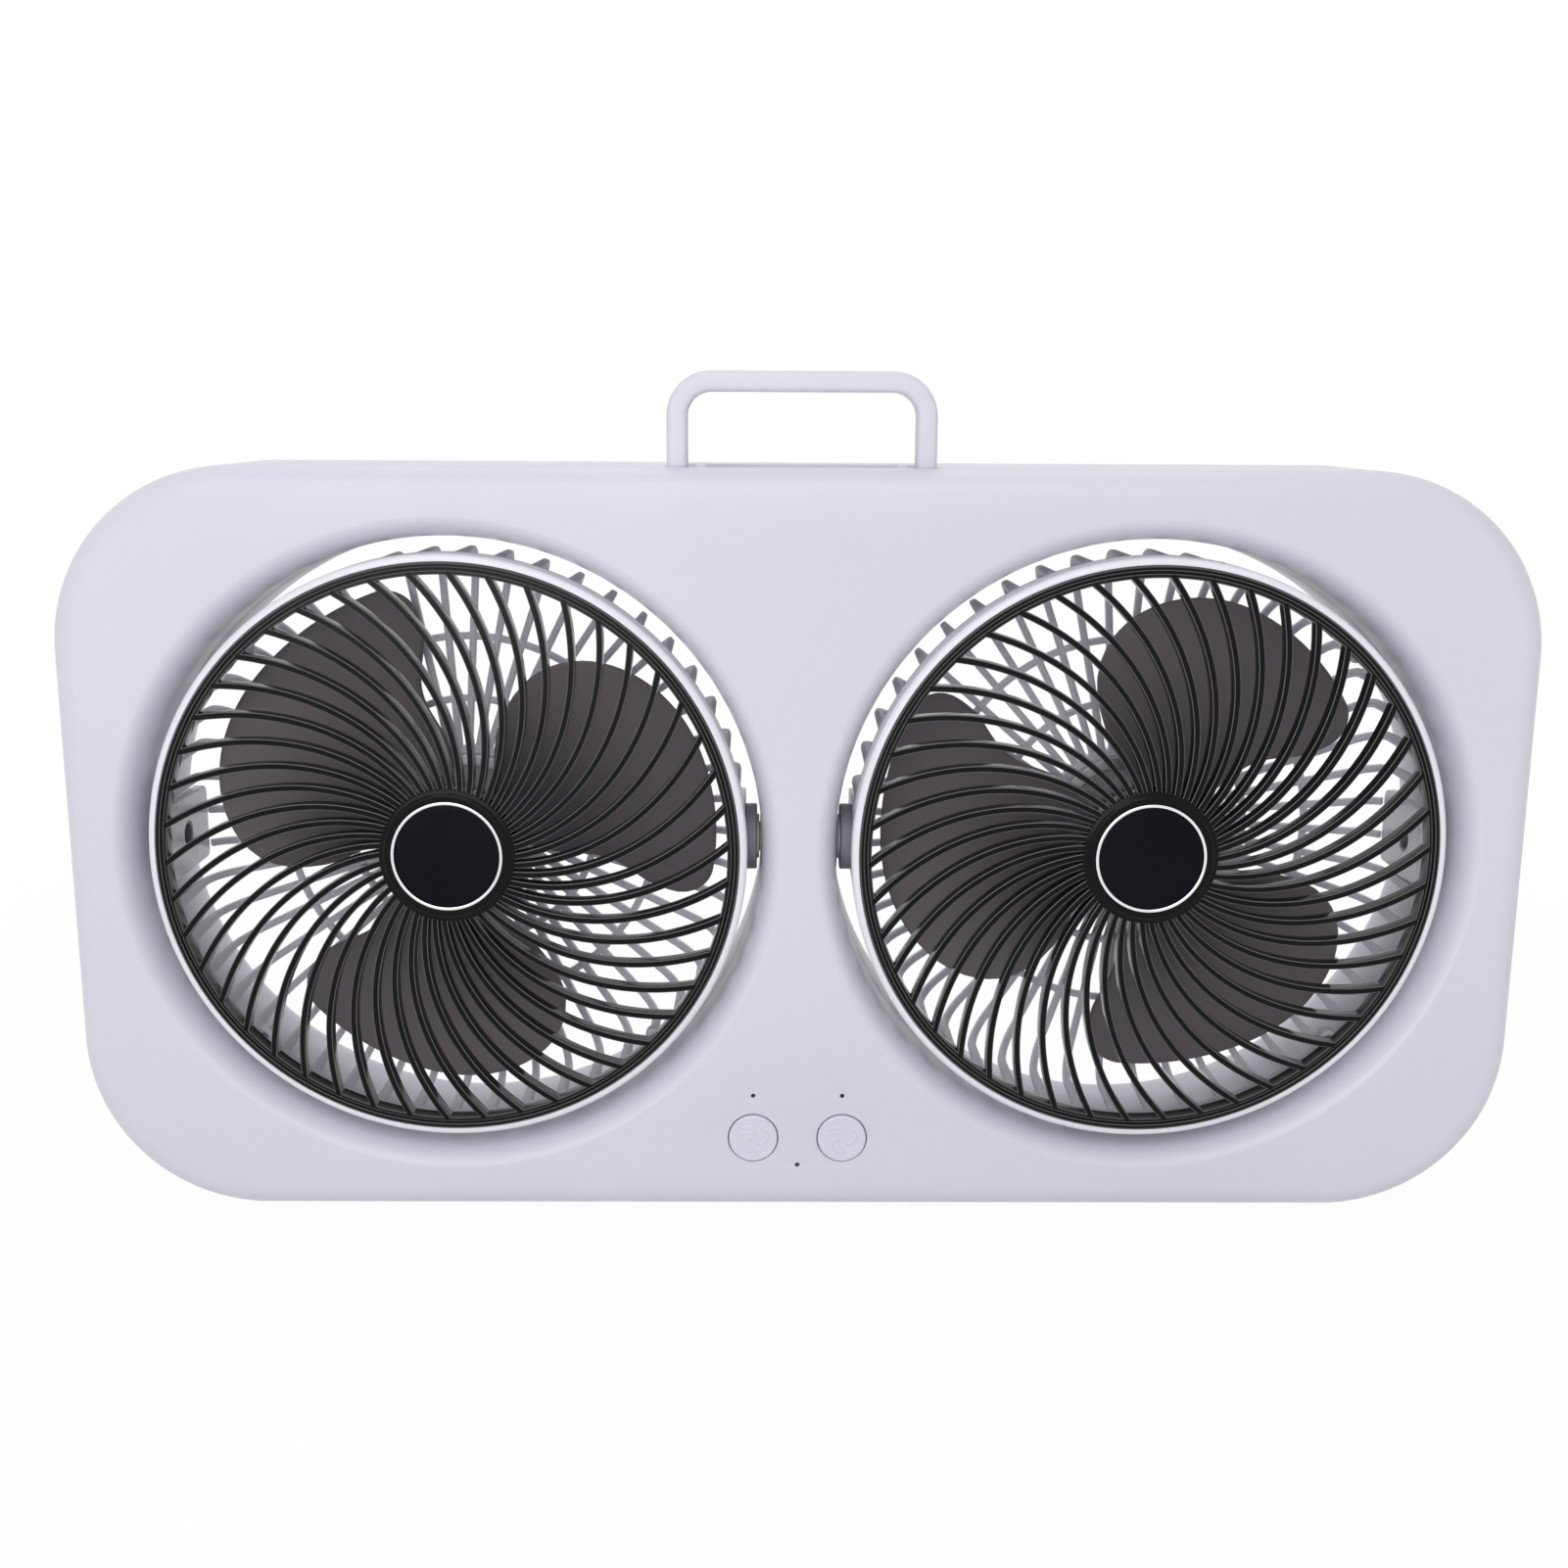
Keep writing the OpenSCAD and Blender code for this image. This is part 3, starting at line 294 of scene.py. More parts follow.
class Skin:
    """Collects patches of surface in millimetres and makes one mesh object of them."""

    def __init__(self, name: str) -> None:
        """Starts an empty skin for a piece of that name."""
        self.name = name
        self._points: list[Array] = []
        self._painted_highlight: list[Array] = []
        self._faces: list[NDArray[np.int64]] = []
        self._count = 0

    def _add(self, points: Array, painted_highlight: Array | float = 0.0) -> int:
        """Keeps points with their share of painted edge highlight and returns the number of the
        first of them.
        """
        start = self._count
        self._points.append(points.reshape(-1, 3))
        self._painted_highlight.append(np.broadcast_to(painted_highlight, points.shape[:-1]).ravel())
        self._count += len(self._points[-1])
        return start

    def grid(
        self,
        points: Array,
        wrap_u: bool = False,
        wrap_v: bool = False,
        keep: Optional[Array] = None,
        painted_highlight: Array | float = 0.0,
    ) -> "Skin":
        """Adds quads between the neighbours of a grid of points.

        Args:
            points: Points indexed by (u, v, xyz).
            wrap_u: Whether the last u joins the first.
            wrap_v: Whether the last v joins the first.
            keep: Mask over the cells; a cell that isn't kept is left open.
            painted_highlight: Share of painted edge highlight of the points, a lighter colour
                painted on them, from 0 to 1, one for each v.

        Returns:
            The skin itself.
        """
        nu, nv = points.shape[:2]
        start = self._add(points, painted_highlight)
        u = np.arange(nu if wrap_u else nu - 1)[:, None]
        v = np.arange(nv if wrap_v else nv - 1)[None, :]
        u1, v1 = (u + 1) % nu, (v + 1) % nv
        corners = [u * nv + v, u1 * nv + v, u1 * nv + v1, u * nv + v1]
        cells = np.stack(corners, axis=-1) + start
        self._faces.append(cells[keep] if keep is not None else cells.reshape(-1, 4))
        return self

    def cap(self, loop: Array) -> "Skin":
        """Closes a convex loop with triangles that meet at its middle."""
        n = len(loop)
        start = self._add(np.vstack([loop, loop.mean(axis=0)[None, :]]))
        i = np.arange(n)
        self._faces.append(np.stack([i, (i + 1) % n, np.full(n, n)], axis=-1) + start)
        return self

    def bar(self, points: Array, painted_highlight: Array | float = 0.0) -> "Skin":
        """Adds a closed bar: a grid whose v wraps, capped at both ends."""
        return self.grid(points, wrap_v=True, painted_highlight=painted_highlight).cap(points[0]).cap(points[-1])

    def plate(self, loops: Sequence[Array], place: Callable[[Array], Array]) -> "Skin":
        """Fills a flat region between an outer loop and its holes.

        The loops' points are triangulated with every loop edge kept, and a triangle stays
        where its middle is inside an odd number of loops.

        Args:
            loops: Closed loops in the plane, the outer one among them.
            place: Carries rows of plane points to space.

        Returns:
            The skin itself.
        """
        flat = np.vstack(loops)
        edges: list[tuple[int, int]] = []
        start = 0
        for loop in loops:
            n = len(loop)
            edges += [(start + i, start + (i + 1) % n) for i in range(n)]
            start += n
        rows = [tuple(p) for p in flat.tolist()]
        verts, _, tris, _, _, _ = delaunay_2d_cdt(rows, edges, [], 0, 1e-7)
        pts = np.array([tuple(v) for v in verts])
        tri = np.array([t for t in tris if len(t) == 3])
        x, y = np.moveaxis(pts[tri].mean(axis=1)[:, None], -1, 0)
        inside = np.zeros(len(tri), int)
        for loop in loops:
            a, b = loop, np.roll(loop, -1, axis=0)
            above = (a[:, 1] > y) != (b[:, 1] > y)
            rise = np.where(b[:, 1] == a[:, 1], 1e-12, b[:, 1] - a[:, 1])
            cross = a[:, 0] + (y - a[:, 1]) * (b[:, 0] - a[:, 0]) / rise
            inside += (above & (x < cross)).sum(axis=1)
        first = self._add(place(pts))
        self._faces.append(tri[inside % 2 == 1] + first)
        return self

    def build(self, sharp_deg: float = 40.0) -> bpy.types.Object:
        """Makes the mesh object.

        Doubled points are merged, faces are turned outwards and edges sharper than the
        given angle are kept crisp.

        Args:
            sharp_deg: Angle above which an edge is shaded as a crease.

        Returns:
            The linked object, at the origin, in metres.
        """
        mesh = bpy.data.meshes.new(self.name)
        faces = [f for part in self._faces for f in part.tolist()]
        mesh.from_pydata((np.vstack(self._points) * MM).tolist(), [], faces)
        # The painted edge highlight is kept as a point attribute of the mesh.
        painted_highlight = np.concatenate(self._painted_highlight).astype(np.float32)
        if painted_highlight.any():
            layer = mesh.attributes.new(PAINTED_EDGE_HIGHLIGHT, "FLOAT", "POINT")
            layer.data.foreach_set("value", painted_highlight)
        work = bmesh.new()
        work.from_mesh(mesh)
        bmesh.ops.remove_doubles(work, verts=work.verts, dist=MERGE_M)
        bmesh.ops.dissolve_degenerate(work, dist=FLAT_M, edges=work.edges)
        bmesh.ops.recalc_face_normals(work, faces=work.faces)
        work.to_mesh(mesh)
        work.free()
        mesh.polygons.foreach_set("use_smooth", np.ones(len(mesh.polygons), bool))
        mesh.set_sharp_from_angle(angle=math.radians(sharp_deg))
        obj = bpy.data.objects.new(self.name, mesh)
        bpy.context.scene.collection.objects.link(obj)
        return obj


# Shader groups


def put(
    tree: bpy.types.NodeTree,
    kind: str,
    inputs: Optional[dict[str | int, object]] = None,
    operation: str = "",
) -> bpy.types.Node:
    """Adds a shader node and feeds its inputs.

    Args:
        tree: Tree that gets the node.
        kind: Type of the node, without the ShaderNode that it starts with.
        inputs: A socket to link or a value to set, by the input's name or number.
        operation: What a Math or Vector Math node does.

    Returns:
        The new node.
    """
    node = tree.nodes.new(f"ShaderNode{kind}")
    if operation:
        node.operation = operation
    for key, value in (inputs or {}).items():
        if isinstance(value, bpy.types.NodeSocket):
            tree.links.new(value, node.inputs[key])
        else:
            node.inputs[key].default_value = value
    return node


def math_of(tree: bpy.types.NodeTree, operation: str, *terms: object) -> bpy.types.NodeSocket:
    """Result of a Math node on its terms, each a socket or a number."""
    return put(tree, "Math", dict(enumerate(terms)), operation).outputs["Value"]


def put_group(
    tree: bpy.types.NodeTree, group: bpy.types.NodeTree, **values: float
) -> bpy.types.NodeSocket:
    """Places a shared group with its own values, and gives its output.

    Args:
        tree: Material that gets the group.
        group: The shared group.
        values: Values of its inputs, with underscores for spaces.

    Returns:
        The group's only output.
    """
    node = put(tree, "Group")
    node.node_tree = group
    for label, value in values.items():
        node.inputs[label.replace("_", " ")].default_value = value
    return node.outputs[0]


class NodeGroups:
    """Effects that several finishes share, each built once as a node group."""

    def __init__(self) -> None:
        """Builds every group."""
        self.grain = self._grain()
        self.mottle = self._mottle()
        self.rub = self._rub()
        self.dust = self._dust()

    @staticmethod
    def _new(
        name: str, output: str, **inputs: float
    ) -> tuple[bpy.types.NodeTree, bpy.types.bpy_prop_collection, bpy.types.NodeSocket]:
        """Starts a group with float inputs and one float output.

        Args:
            name: Name of the group.
            output: Name of its output.
            inputs: Defaults of its inputs, with underscores for spaces in their names.

        Returns:
            The group, the sockets that give its inputs, and the one that takes its result.
        """
        group = bpy.data.node_groups.new(name, "ShaderNodeTree")
        for label, value in inputs.items():
            socket = group.interface.new_socket(
                label.replace("_", " "), in_out="INPUT", socket_type="NodeSocketFloat")
            socket.default_value = value
        group.interface.new_socket(output, in_out="OUTPUT", socket_type="NodeSocketFloat")
        given = group.nodes.new("NodeGroupInput")
        result = group.nodes.new("NodeGroupOutput")
        return group, given.outputs, result.inputs[output]

    @staticmethod
    def _noise(
        group: bpy.types.NodeTree, detail: float, scale: bpy.types.NodeSocket
    ) -> bpy.types.NodeSocket:
        """Noise on Object coordinates at the given scale."""
        place = put(group, "TexCoord").outputs["Object"]
        noise = put(group, "TexNoise", {"Vector": place, "Detail": detail, "Scale": scale})
        return noise.outputs["Fac"]

    @classmethod
    def _grain(cls) -> bpy.types.NodeTree:
        """Height of a moulded surface: fine sparkle over a slow waviness."""
        group, given, result = cls._new(
            "MouldedGrain", "Height", Fine_Scale=2500.0, Wave_Scale=25.0, Wave_Share=0.4)
        fine = cls._noise(group, 2.0, given["Fine Scale"])
        wave = cls._noise(group, 1.0, given["Wave Scale"])
        mix = put(group, "Mix", {"Factor": given["Wave Share"], "A": fine, "B": wave})
        group.links.new(mix.outputs["Result"], result)
        return group

    @classmethod
    def _mottle(cls) -> bpy.types.NodeTree:
        """Mask of slow colour change in a moulding."""
        group, given, result = cls._new("Mottle", "Mask", Scale=12.0, Low=0.35, High=0.65)
        noise = cls._noise(group, 3.0, given["Scale"])
        limits = {"From Min": given["Low"], "From Max": given["High"]}
        ramp = put(group, "MapRange", {"Value": noise, **limits})
        group.links.new(ramp.outputs["Result"], result)
        return group

    @classmethod
    def _rub(cls) -> bpy.types.NodeTree:
        """Mask of outer edges that hands have polished, broken up by noise."""
        group, given, result = cls._new(
            "EdgeRub", "Mask", Start=0.52, End=0.62, Break_Scale=90.0)
        sharp = put(group, "NewGeometry").outputs["Pointiness"]
        limits = {"From Min": given["Start"], "From Max": given["End"]}
        ramp = put(group, "MapRange", {"Value": sharp, **limits})
        noise = cls._noise(group, 4.0, given["Break Scale"])
        group.links.new(math_of(group, "MULTIPLY", ramp.outputs["Result"], noise), result)
        return group

    @classmethod
    def _dust(cls) -> bpy.types.NodeTree:
        """Mask of the thin dust that settles where a surface faces up."""
        group, given, result = cls._new("SettledDust", "Mask", Amount=0.2, Scale=60.0)
        normal = put(group, "NewGeometry").outputs["Normal"]
        up = put(group, "SeparateXYZ", {"Vector": normal}).outputs["Z"]
        facing = put(group, "MapRange", {"Value": up, "From Min": 0.3}).outputs["Result"]
        noise = cls._noise(group, 5.0, given["Scale"])
        settled = math_of(group, "MULTIPLY", facing, noise)
        group.links.new(math_of(group, "MULTIPLY", settled, given["Amount"]), result)
        return group


# Finishes


@dataclass(frozen=True)
class Finish:
    """One finish of the fan, as numbers for a Principled shader and the shared groups.

    colour and shade are the two ends of the mottle, and rough is the middle of a
    roughness that varies by rough_spread either way. dust, rub and edge are the shares
    of settled dust, of polish on rubbed edges and of a painted highlight, a lighter colour painted
    on a piece's marked edges.
    """

    name: str
    colour: Colour
    shade: Colour
    rough: float
    rough_spread: float = 0.04
    metallic: float = 0.0
    fine_scale: float = 2500.0
    wave_share: float = 0.3
    bump: float = 0.04
    bump_height: float = 0.0004
    mottle_scale: float = 12.0
    smudge_scale: float = 4.0
    dust: float = 0.0
    dust_colour: Colour = (0.55, 0.54, 0.52)
    rub: float = 0.0
    # Share of the painted highlight: a lighter colour painted on the marked edges.
    edge: float = 0.0
    painted_highlight_colour: Colour = (0.42, 0.42, 0.43)
    specular: float = 0.5

    def build(self, groups: NodeGroups) -> bpy.types.Material:
        """Makes the material with its nodes.

        Args:
            groups: The shared effects.

        Returns:
            The new material.
        """
        material = bpy.data.materials.new(self.name)
        material.use_nodes = True
        material.diffuse_color = (*self.colour, 1.0)
        tree = material.node_tree
        shader = tree.nodes["Principled BSDF"].inputs
        shader["Metallic"].default_value = self.metallic
        shader["Specular IOR Level"].default_value = self.specular
        tree.links.new(self._base(tree, groups), shader["Base Color"])
        tree.links.new(self._roughness(tree, groups), shader["Roughness"])
        tree.links.new(self._relief(tree, groups), shader["Normal"])
        return material

    def _base(self, tree: bpy.types.NodeTree, groups: NodeGroups) -> bpy.types.NodeSocket:
        """Mottled colour, with dust where it faces up and a painted highlight on its marked edges.

        Args:
            tree: The material's nodes.
            groups: The shared effects.

        Returns:
            Socket of the colour.
        """
        mottle = put_group(tree, groups.mottle, Scale=self.mottle_scale)
        base = self._mix(tree, self.colour, self.shade, mottle)
        if self.dust > 0:
            film = put_group(tree, groups.dust, Amount=self.dust)
            base = self._mix(tree, base, self.dust_colour, film)
        # Painted highlight: a lighter colour mixed in by the mesh's marked-edge share.
        if self.edge > 0:
            marked = put(tree, "Attribute")
            marked.attribute_name = PAINTED_EDGE_HIGHLIGHT
            share = math_of(tree, "MULTIPLY", marked.outputs["Fac"], self.edge)
            base = self._mix(tree, base, self.painted_highlight_colour, share)
        return base

    def _roughness(self, tree: bpy.types.NodeTree, groups: NodeGroups) -> bpy.types.NodeSocket:
        """Roughness with smudges, lower where hands have rubbed an edge.

        Args:
            tree: The material's nodes.
            groups: The shared effects.

        Returns:
            Socket of the roughness.
        """
        smudge = put_group(tree, groups.mottle, Scale=self.smudge_scale * self.mottle_scale)
        rough = put(tree, "MapRange", {
            "Value": smudge,
            "To Min": self.rough - self.rough_spread,
            "To Max": self.rough + self.rough_spread,
        }).outputs["Result"]
        if self.rub == 0:
            return rough
        worn = put_group(tree, groups.rub)
        polish = put(tree, "Math", {0: worn, 1: -self.rub, 2: rough}, "MULTIPLY_ADD")
        polish.use_clamp = True
        return polish.outputs["Value"]

    def _relief(self, tree: bpy.types.NodeTree, groups: NodeGroups) -> bpy.types.NodeSocket:
        """Normal of the moulded grain.

        Args:
            tree: The material's nodes.
            groups: The shared effects.

        Returns:
            Socket of the normal.
        """
        height = put_group(
            tree, groups.grain, Fine_Scale=self.fine_scale, Wave_Share=self.wave_share)
        bump = put(tree, "Bump", {
            "Strength": self.bump, "Distance": self.bump_height, "Height": height})
        return bump.outputs["Normal"]

    @staticmethod
    def _mix(
        tree: bpy.types.NodeTree,
        first: Colour | bpy.types.NodeSocket,
        second: Colour,
        mask: bpy.types.NodeSocket,
    ) -> bpy.types.NodeSocket:
        """Mixes two colours.

        Args:
            tree: The material's nodes.
            first: The colour, or its socket, where the mask is 0.
            second: The colour where the mask is 1.
            mask: Socket of the mask.

        Returns:
            Socket of the mixed colour.
        """
        mix = put(tree, "Mix", {"Factor": mask})
        mix.data_type = "RGBA"
        colour_in = [s for s in mix.inputs if s.type == "RGBA"]
        if isinstance(first, tuple):
            colour_in[0].default_value = (*first, 1.0)
        else:
            tree.links.new(first, colour_in[0])
        colour_in[1].default_value = (*second, 1.0)
        return next(s for s in mix.outputs if s.type == "RGBA")


FINISHES: dict[str, Finish] = {
    "housing_white": Finish(
        "SatinWhiteHousing", srgb(214, 213, 222), srgb(211, 210, 219), 0.36, dust=0.03, bump=0.03),
    "handle_white": Finish(
        "SatinWhiteHandle", srgb(216, 215, 224), srgb(212, 211, 221), 0.38, rub=0.3),
    "hoop_white": Finish(
        "GlossWhiteHoop", srgb(233, 232, 238), srgb(229, 228, 235), 0.28, bump=0.02),
    "cage_white": Finish(
        "SatinGreyCage", srgb(230, 229, 236), srgb(224, 223, 230), 0.5, dust=0.04, specular=0.3),
    "button_white": Finish(
        "SatinWhiteButton", srgb(216, 214, 224), srgb(213, 211, 221), 0.34, rub=0.3, bump=0.03),
    # The grille's ribs and rim get a painted highlight, a lighter colour along their marked edges.
    "grille_black": Finish(
        "GlossBlackGrille", srgb(6, 6, 7), srgb(9, 9, 10), 0.16,
        bump=0.02, specular=0.13, edge=0.34),
    "cap_dark": Finish(
        "DarkNavyCap", srgb(8, 11, 17), srgb(13, 16, 24), 0.38,
        mottle_scale=35.0, bump=0.02, specular=0.06),
    "ring_chrome": Finish(
        "BrightPlatedRing", srgb(236, 236, 238), srgb(228, 228, 232), 0.12, 0.02, 1.0, bump=0.01),
    "blade_grey": Finish(
        "MattGreyBlade", srgb(124, 118, 120), srgb(117, 111, 113), 0.5,
        dust=0.05, bump=0.05, dust_colour=(0.16, 0.155, 0.15), specular=0.3),
    "motor_metal": Finish(
        "SatinMotorCan", srgb(188, 188, 192), srgb(170, 170, 176), 0.35, 0.06, 0.9, bump=0.06),
    "pivot_grey": Finish(
        "GreyAcetal", srgb(138, 137, 145), srgb(130, 129, 137), 0.45, bump=0.05),
    "bearing_grey": Finish(
        "GreyAcetalBlock", srgb(136, 135, 143), srgb(128, 127, 135), 0.48, bump=0.05),
    "washer_nylon": Finish("NaturalNylon", srgb(224, 220, 206), srgb(214, 210, 196), 0.5),
    "pin_steel": Finish(
        "BrightSteel", srgb(200, 200, 203), srgb(184, 184, 188), 0.22, 0.05, 1.0, bump=0.03),
    "screw_steel": Finish(
        "ZincedSteel", srgb(182, 184, 188), srgb(160, 163, 168), 0.32, 0.08, 1.0, bump=0.06),
    "foot_rubber": Finish(
        "MattRubber", srgb(38, 38, 39), srgb(30, 30, 31), 0.8, bump=0.25, fine_scale=1200.0),
    "switch_black": Finish("BlackSwitch", srgb(32, 32, 34), srgb(26, 26, 28), 0.4),
    "board_green": Finish(
        "GreenSolderMask", srgb(24, 92, 54), srgb(18, 78, 46), 0.3, mottle_scale=180.0),
    "light_pipe": Finish("SmokedLightPipe", srgb(12, 12, 13), srgb(8, 8, 9), 0.15),
    "cell_wrap": Finish("BlueCellWrap", srgb(52, 104, 172), srgb(46, 94, 158), 0.35),
    "tray_black": Finish("BlackTray", srgb(36, 36, 38), srgb(30, 30, 32), 0.5),
    "socket_steel": Finish(
        "DrawnSteelShell", srgb(196, 197, 200), srgb(178, 179, 184), 0.25, 0.06, 1.0),
    "nut_black": Finish("BlackNut", srgb(26, 26, 28), srgb(20, 20, 22), 0.4),
}


class Dresser:
    """Gives each piece its finish, its material slot and its body."""

    def __init__(self) -> None:
        """Builds the shared groups and one material for each finish."""
        groups = NodeGroups()
        parts = frame["record"]["subparts"]
        self.materials = {slot: finish.build(groups) for slot, finish in FINISHES.items()}
        self.slots = {part["node"]: part["material_slot"] for part in parts}

    def piece(
        self, obj: bpy.types.Object, slot: str, body: str, *replaced: str
    ) -> bpy.types.Object:
        """Dresses a new piece.

        Args:
            obj: The finished object.
            slot: Material slot of the record that it takes its finish from.
            body: Body that it moves with.
            replaced: CAD nodes that it stands for.

        Returns:
            The same object.
        """
        obj.data.materials.clear()
        obj.data.materials.append(self.materials[slot])
        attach(obj, body)
        if replaced:
            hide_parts(*replaced)
        log.info("%s: %d faces, on %s", obj.name, len(obj.data.polygons), body)
        return obj

    def nodes(self) -> None:
        """Gives every CAD node the material of its slot."""
        for name, obj in frame["nodes"].items():
            material = self.materials[self.slots[name]]
            held = obj.data.materials
            for index in range(len(held)):
                held[index] = material
            if not held:
                held.append(material)


# Housing


@dataclass
class Housing:
    """Front and rear shell, with the places that open them."""

    layout: Layout
    dresser: Dresser
    wall: float = 2.4
    corner_r: float = 53.0
    front_edge: float = 7.6
    back_edge: float = 5.0
    throat_r: float = 91.6
    lip_w: float = 6.4
    lip_d: float = 14.0
    corner_steps: int = 40
    edge_steps: int = 12
    lip_steps: int = 20
    opening_steps: int = 256
    hole_steps: int = 64
    pinhole_steps: int = 24
    pinhole_r: float = 2.0
    seam_round: float = 0.35
    tube_round: float = 0.25
    button_hole_r: float = 7.65
    hole_round: float = 0.2
    light_r: float = 0.72
    light_round: float = 0.05
    pocket_half: float = 39.1
    pocket_front: float = 8.1
    pocket_back: float = 42.4
    pocket_deep: float = 6.6
    pocket_round: float = 0.45
    pocket_foot: float = 0.8
    pocket_corner: float = 1.2
    pocket_floor: float = 1.8
    pocket_back_share: tuple[float, float] = (1.03, 1.02)
    ear_x: float = 28.75
    ear_r: float = 3.1
    ear_w: float = 3.6
    ear_round: float = 0.4
    mid_screw: tuple[float, float] = (48.0, 98.0)
    screw_inset: float = 22.0
    screw_boss_r: float = 4.0
    screw_pilot: tuple[float, float] = (1.5, 35.0)
    screw_gap: float = 0.1
    board_mid_z: float = -81.0
    board_half: tuple[float, float] = (25.5, 14.5)
    board_post: tuple[float, float] = (2.2, 10.0)
    board_pilot: tuple[float, float] = (1.0, 3.4)
    well_r: float = 3.3
    well_d: float = 50.0
    well_round: float = 0.3
    well_post_r: float = 5.0
    screw_hole_r: float = 1.75
    window_size: tuple[float, float, float] = (9.5, 3.8, 1.7)
    window_z: float = -56.0
    light_spots: tuple[tuple[float, float], ...] = ((-13.4, -74.4), (13.4, -74.4), (0.0, -96.6))

    @property
    def button_spots(self) -> list[tuple[float, float]]:
        """Places of the two buttons, from the heads' axes."""
        return [(side.sign * self.layout.button_x, self.layout.button_z) for side in Side]

    @property
    def screw_spots(self) -> list[tuple[float, float]]:
        """Places of the eight housing screws, from the heads' axes."""
        corner = (self.layout.half_w - self.screw_inset, self.layout.half_h - self.screw_inset)
        return four(*corner) + four(*self.mid_screw)

    def outline(self) -> tuple[Array, Array]:
        """Corner centres and outward directions round the rounded rectangle."""
        a = quarter(self.corner_steps)
        run_x = self.layout.half_w - self.corner_r
        run_z = self.layout.half_h - self.corner_r
        base, way = [], []
        for k, (sx, sz) in enumerate(((1, 1), (-1, 1), (-1, -1), (1, -1))):
            turn = a + k * math.pi / 2
            way.append(np.column_stack([np.cos(turn), np.sin(turn)]))
            base.append(np.broadcast_to([sx * run_x, sz * run_z], way[-1].shape))
        return np.vstack(base), np.vstack(way)

    def place(self, plane: Array, depth: Array | float) -> Array:
        """Space point of (x, z) from the heads' axes at a depth from the face."""
        y = np.broadcast_to(self.layout.face_y + depth, plane.shape[:-1])
        return np.stack([plane[..., 0], y, self.layout.head_z + plane[..., 1]], axis=-1)

    def side_grid(self, profile: Array, depth_of: Callable[[Array], Array]) -> Array:
        """Grid of a profile carried round the outline.

        Args:
            profile: Rows of (inset, distance from the shell's own face).
            depth_of: Turns a distance from that face into a depth.

        Returns:
            Points indexed by (outline, profile point, xyz).
        """
        base, way = self.outline()
        reach = self.corner_r - profile[:, 0]
        plane = base[:, None, :] + reach[None, :, None] * way[:, None, :]
        depth = np.broadcast_to(depth_of(profile[:, 1])[None, :], plane.shape[:2])
        return self.place(plane, depth)

    @staticmethod
    def wall_end(place: float, depth: float, tip: float) -> Array:
        """End of a wall: a quarter circle, or one point.

        Args:
            place: Where the wall is, as an inset or a radius.
            depth: Distance of its end.
            tip: Radius of the quarter circle; 0 gives the one point.

        Returns:
            Rows of (place, distance).
        """
        if tip == 0:
            return np.array([[place, depth]])
        b = quarter(3)
        return np.column_stack([place + tip * (1 - np.cos(b)), depth - tip * (1 - np.sin(b))])

    @staticmethod
    def mouth(radius: float, soft: float) -> Array:
        """Rounded mouth of a hole as (radius, distance): a quarter circle."""
        b = quarter(4)
        return np.column_stack([radius + soft * (1 - np.sin(b)), soft * (1 - np.cos(b))])

    def edge_profile(self, edge: float, inset: float, depth: float, tip: float) -> Array:
        """Rounded edge from the face to the seam: a quarter circle, then a straight wall.

        Args:
            edge: Inset and distance of the circle's centre.
            inset: Inset of the wall, and distance of the face.
            depth: Distance at which the wall ends.
            tip: Rounding of the wall's end.

        Returns:
            Rows of (inset, distance).
        """
        a = quarter(self.edge_steps)
        arc = edge - (edge - inset) * np.column_stack([np.sin(a), np.cos(a)])
        return np.vstack([arc, self.wall_end(inset, depth, tip)])

    def funnel_profile(self, grow: float, start: float, depth: float, tip: float) -> Array:
        """Rolled lip and tube as (radius, distance): a quarter ellipse, then straight.

        Args:
            grow: How far outside the opening's wall the profile runs.
            start: Distance of the face that it starts from.
            depth: Distance at which the tube ends.
            tip: Rounding of the tube's end.

        Returns:
            Rows of (radius, distance).
        """
        a = quarter(self.lip_steps)
        throat = self.throat_r + grow
        radius = throat + (self.lip_w - grow) * (1 - np.sin(a))
        away = start + (self.lip_d - start) * (1 - np.cos(a))
        return np.vstack([np.column_stack([radius, away]), self.wall_end(throat, depth, tip)])

    def shell(
        self,
        name: str,
        edge: float,
        seam: float,
        tube: float,
        depth_of: Callable[[Array], Array],
        holes: Sequence[tuple[tuple[float, float], Array]],
        pocket: bool,
        window: Optional[Array] = None,
    ) -> bpy.types.Object:
        """One half of the housing as a closed thick skin.

        Args:
            name: Name of the piece.
            edge: Radius of its rounded edge.
            seam: Distance from its own face to the seam.
            tube: Distance from its own face to the end of the openings' tubes.
            depth_of: Turns a distance from its own face into a depth.
            holes: Turned openings and posts in the face: centre, and a profile of (radius,
                distance) that starts on the outer face and ends on the inner one.
            pocket: Whether the handle's pocket opens its top.
            window: Outline of a window straight through the face, if it has one.

        Returns:
            The finished object.
        """
        skin = Skin(name)
        sides = []
        for inset, tip in ((0.0, self.seam_round), (self.wall, 0.0)):
            profile = self.edge_profile(edge, inset, seam, tip)
            points = self.side_grid(profile, depth_of)
            keep = np.ones((points.shape[0], points.shape[1] - 1), bool)
            if pocket:
                keep[self.corner_steps, self.edge_steps] = False
            skin.grid(points, wrap_u=True, keep=keep)
            sides.append(points)
        skin.grid(np.stack([points[:, -1] for points in sides], axis=1), wrap_u=True)

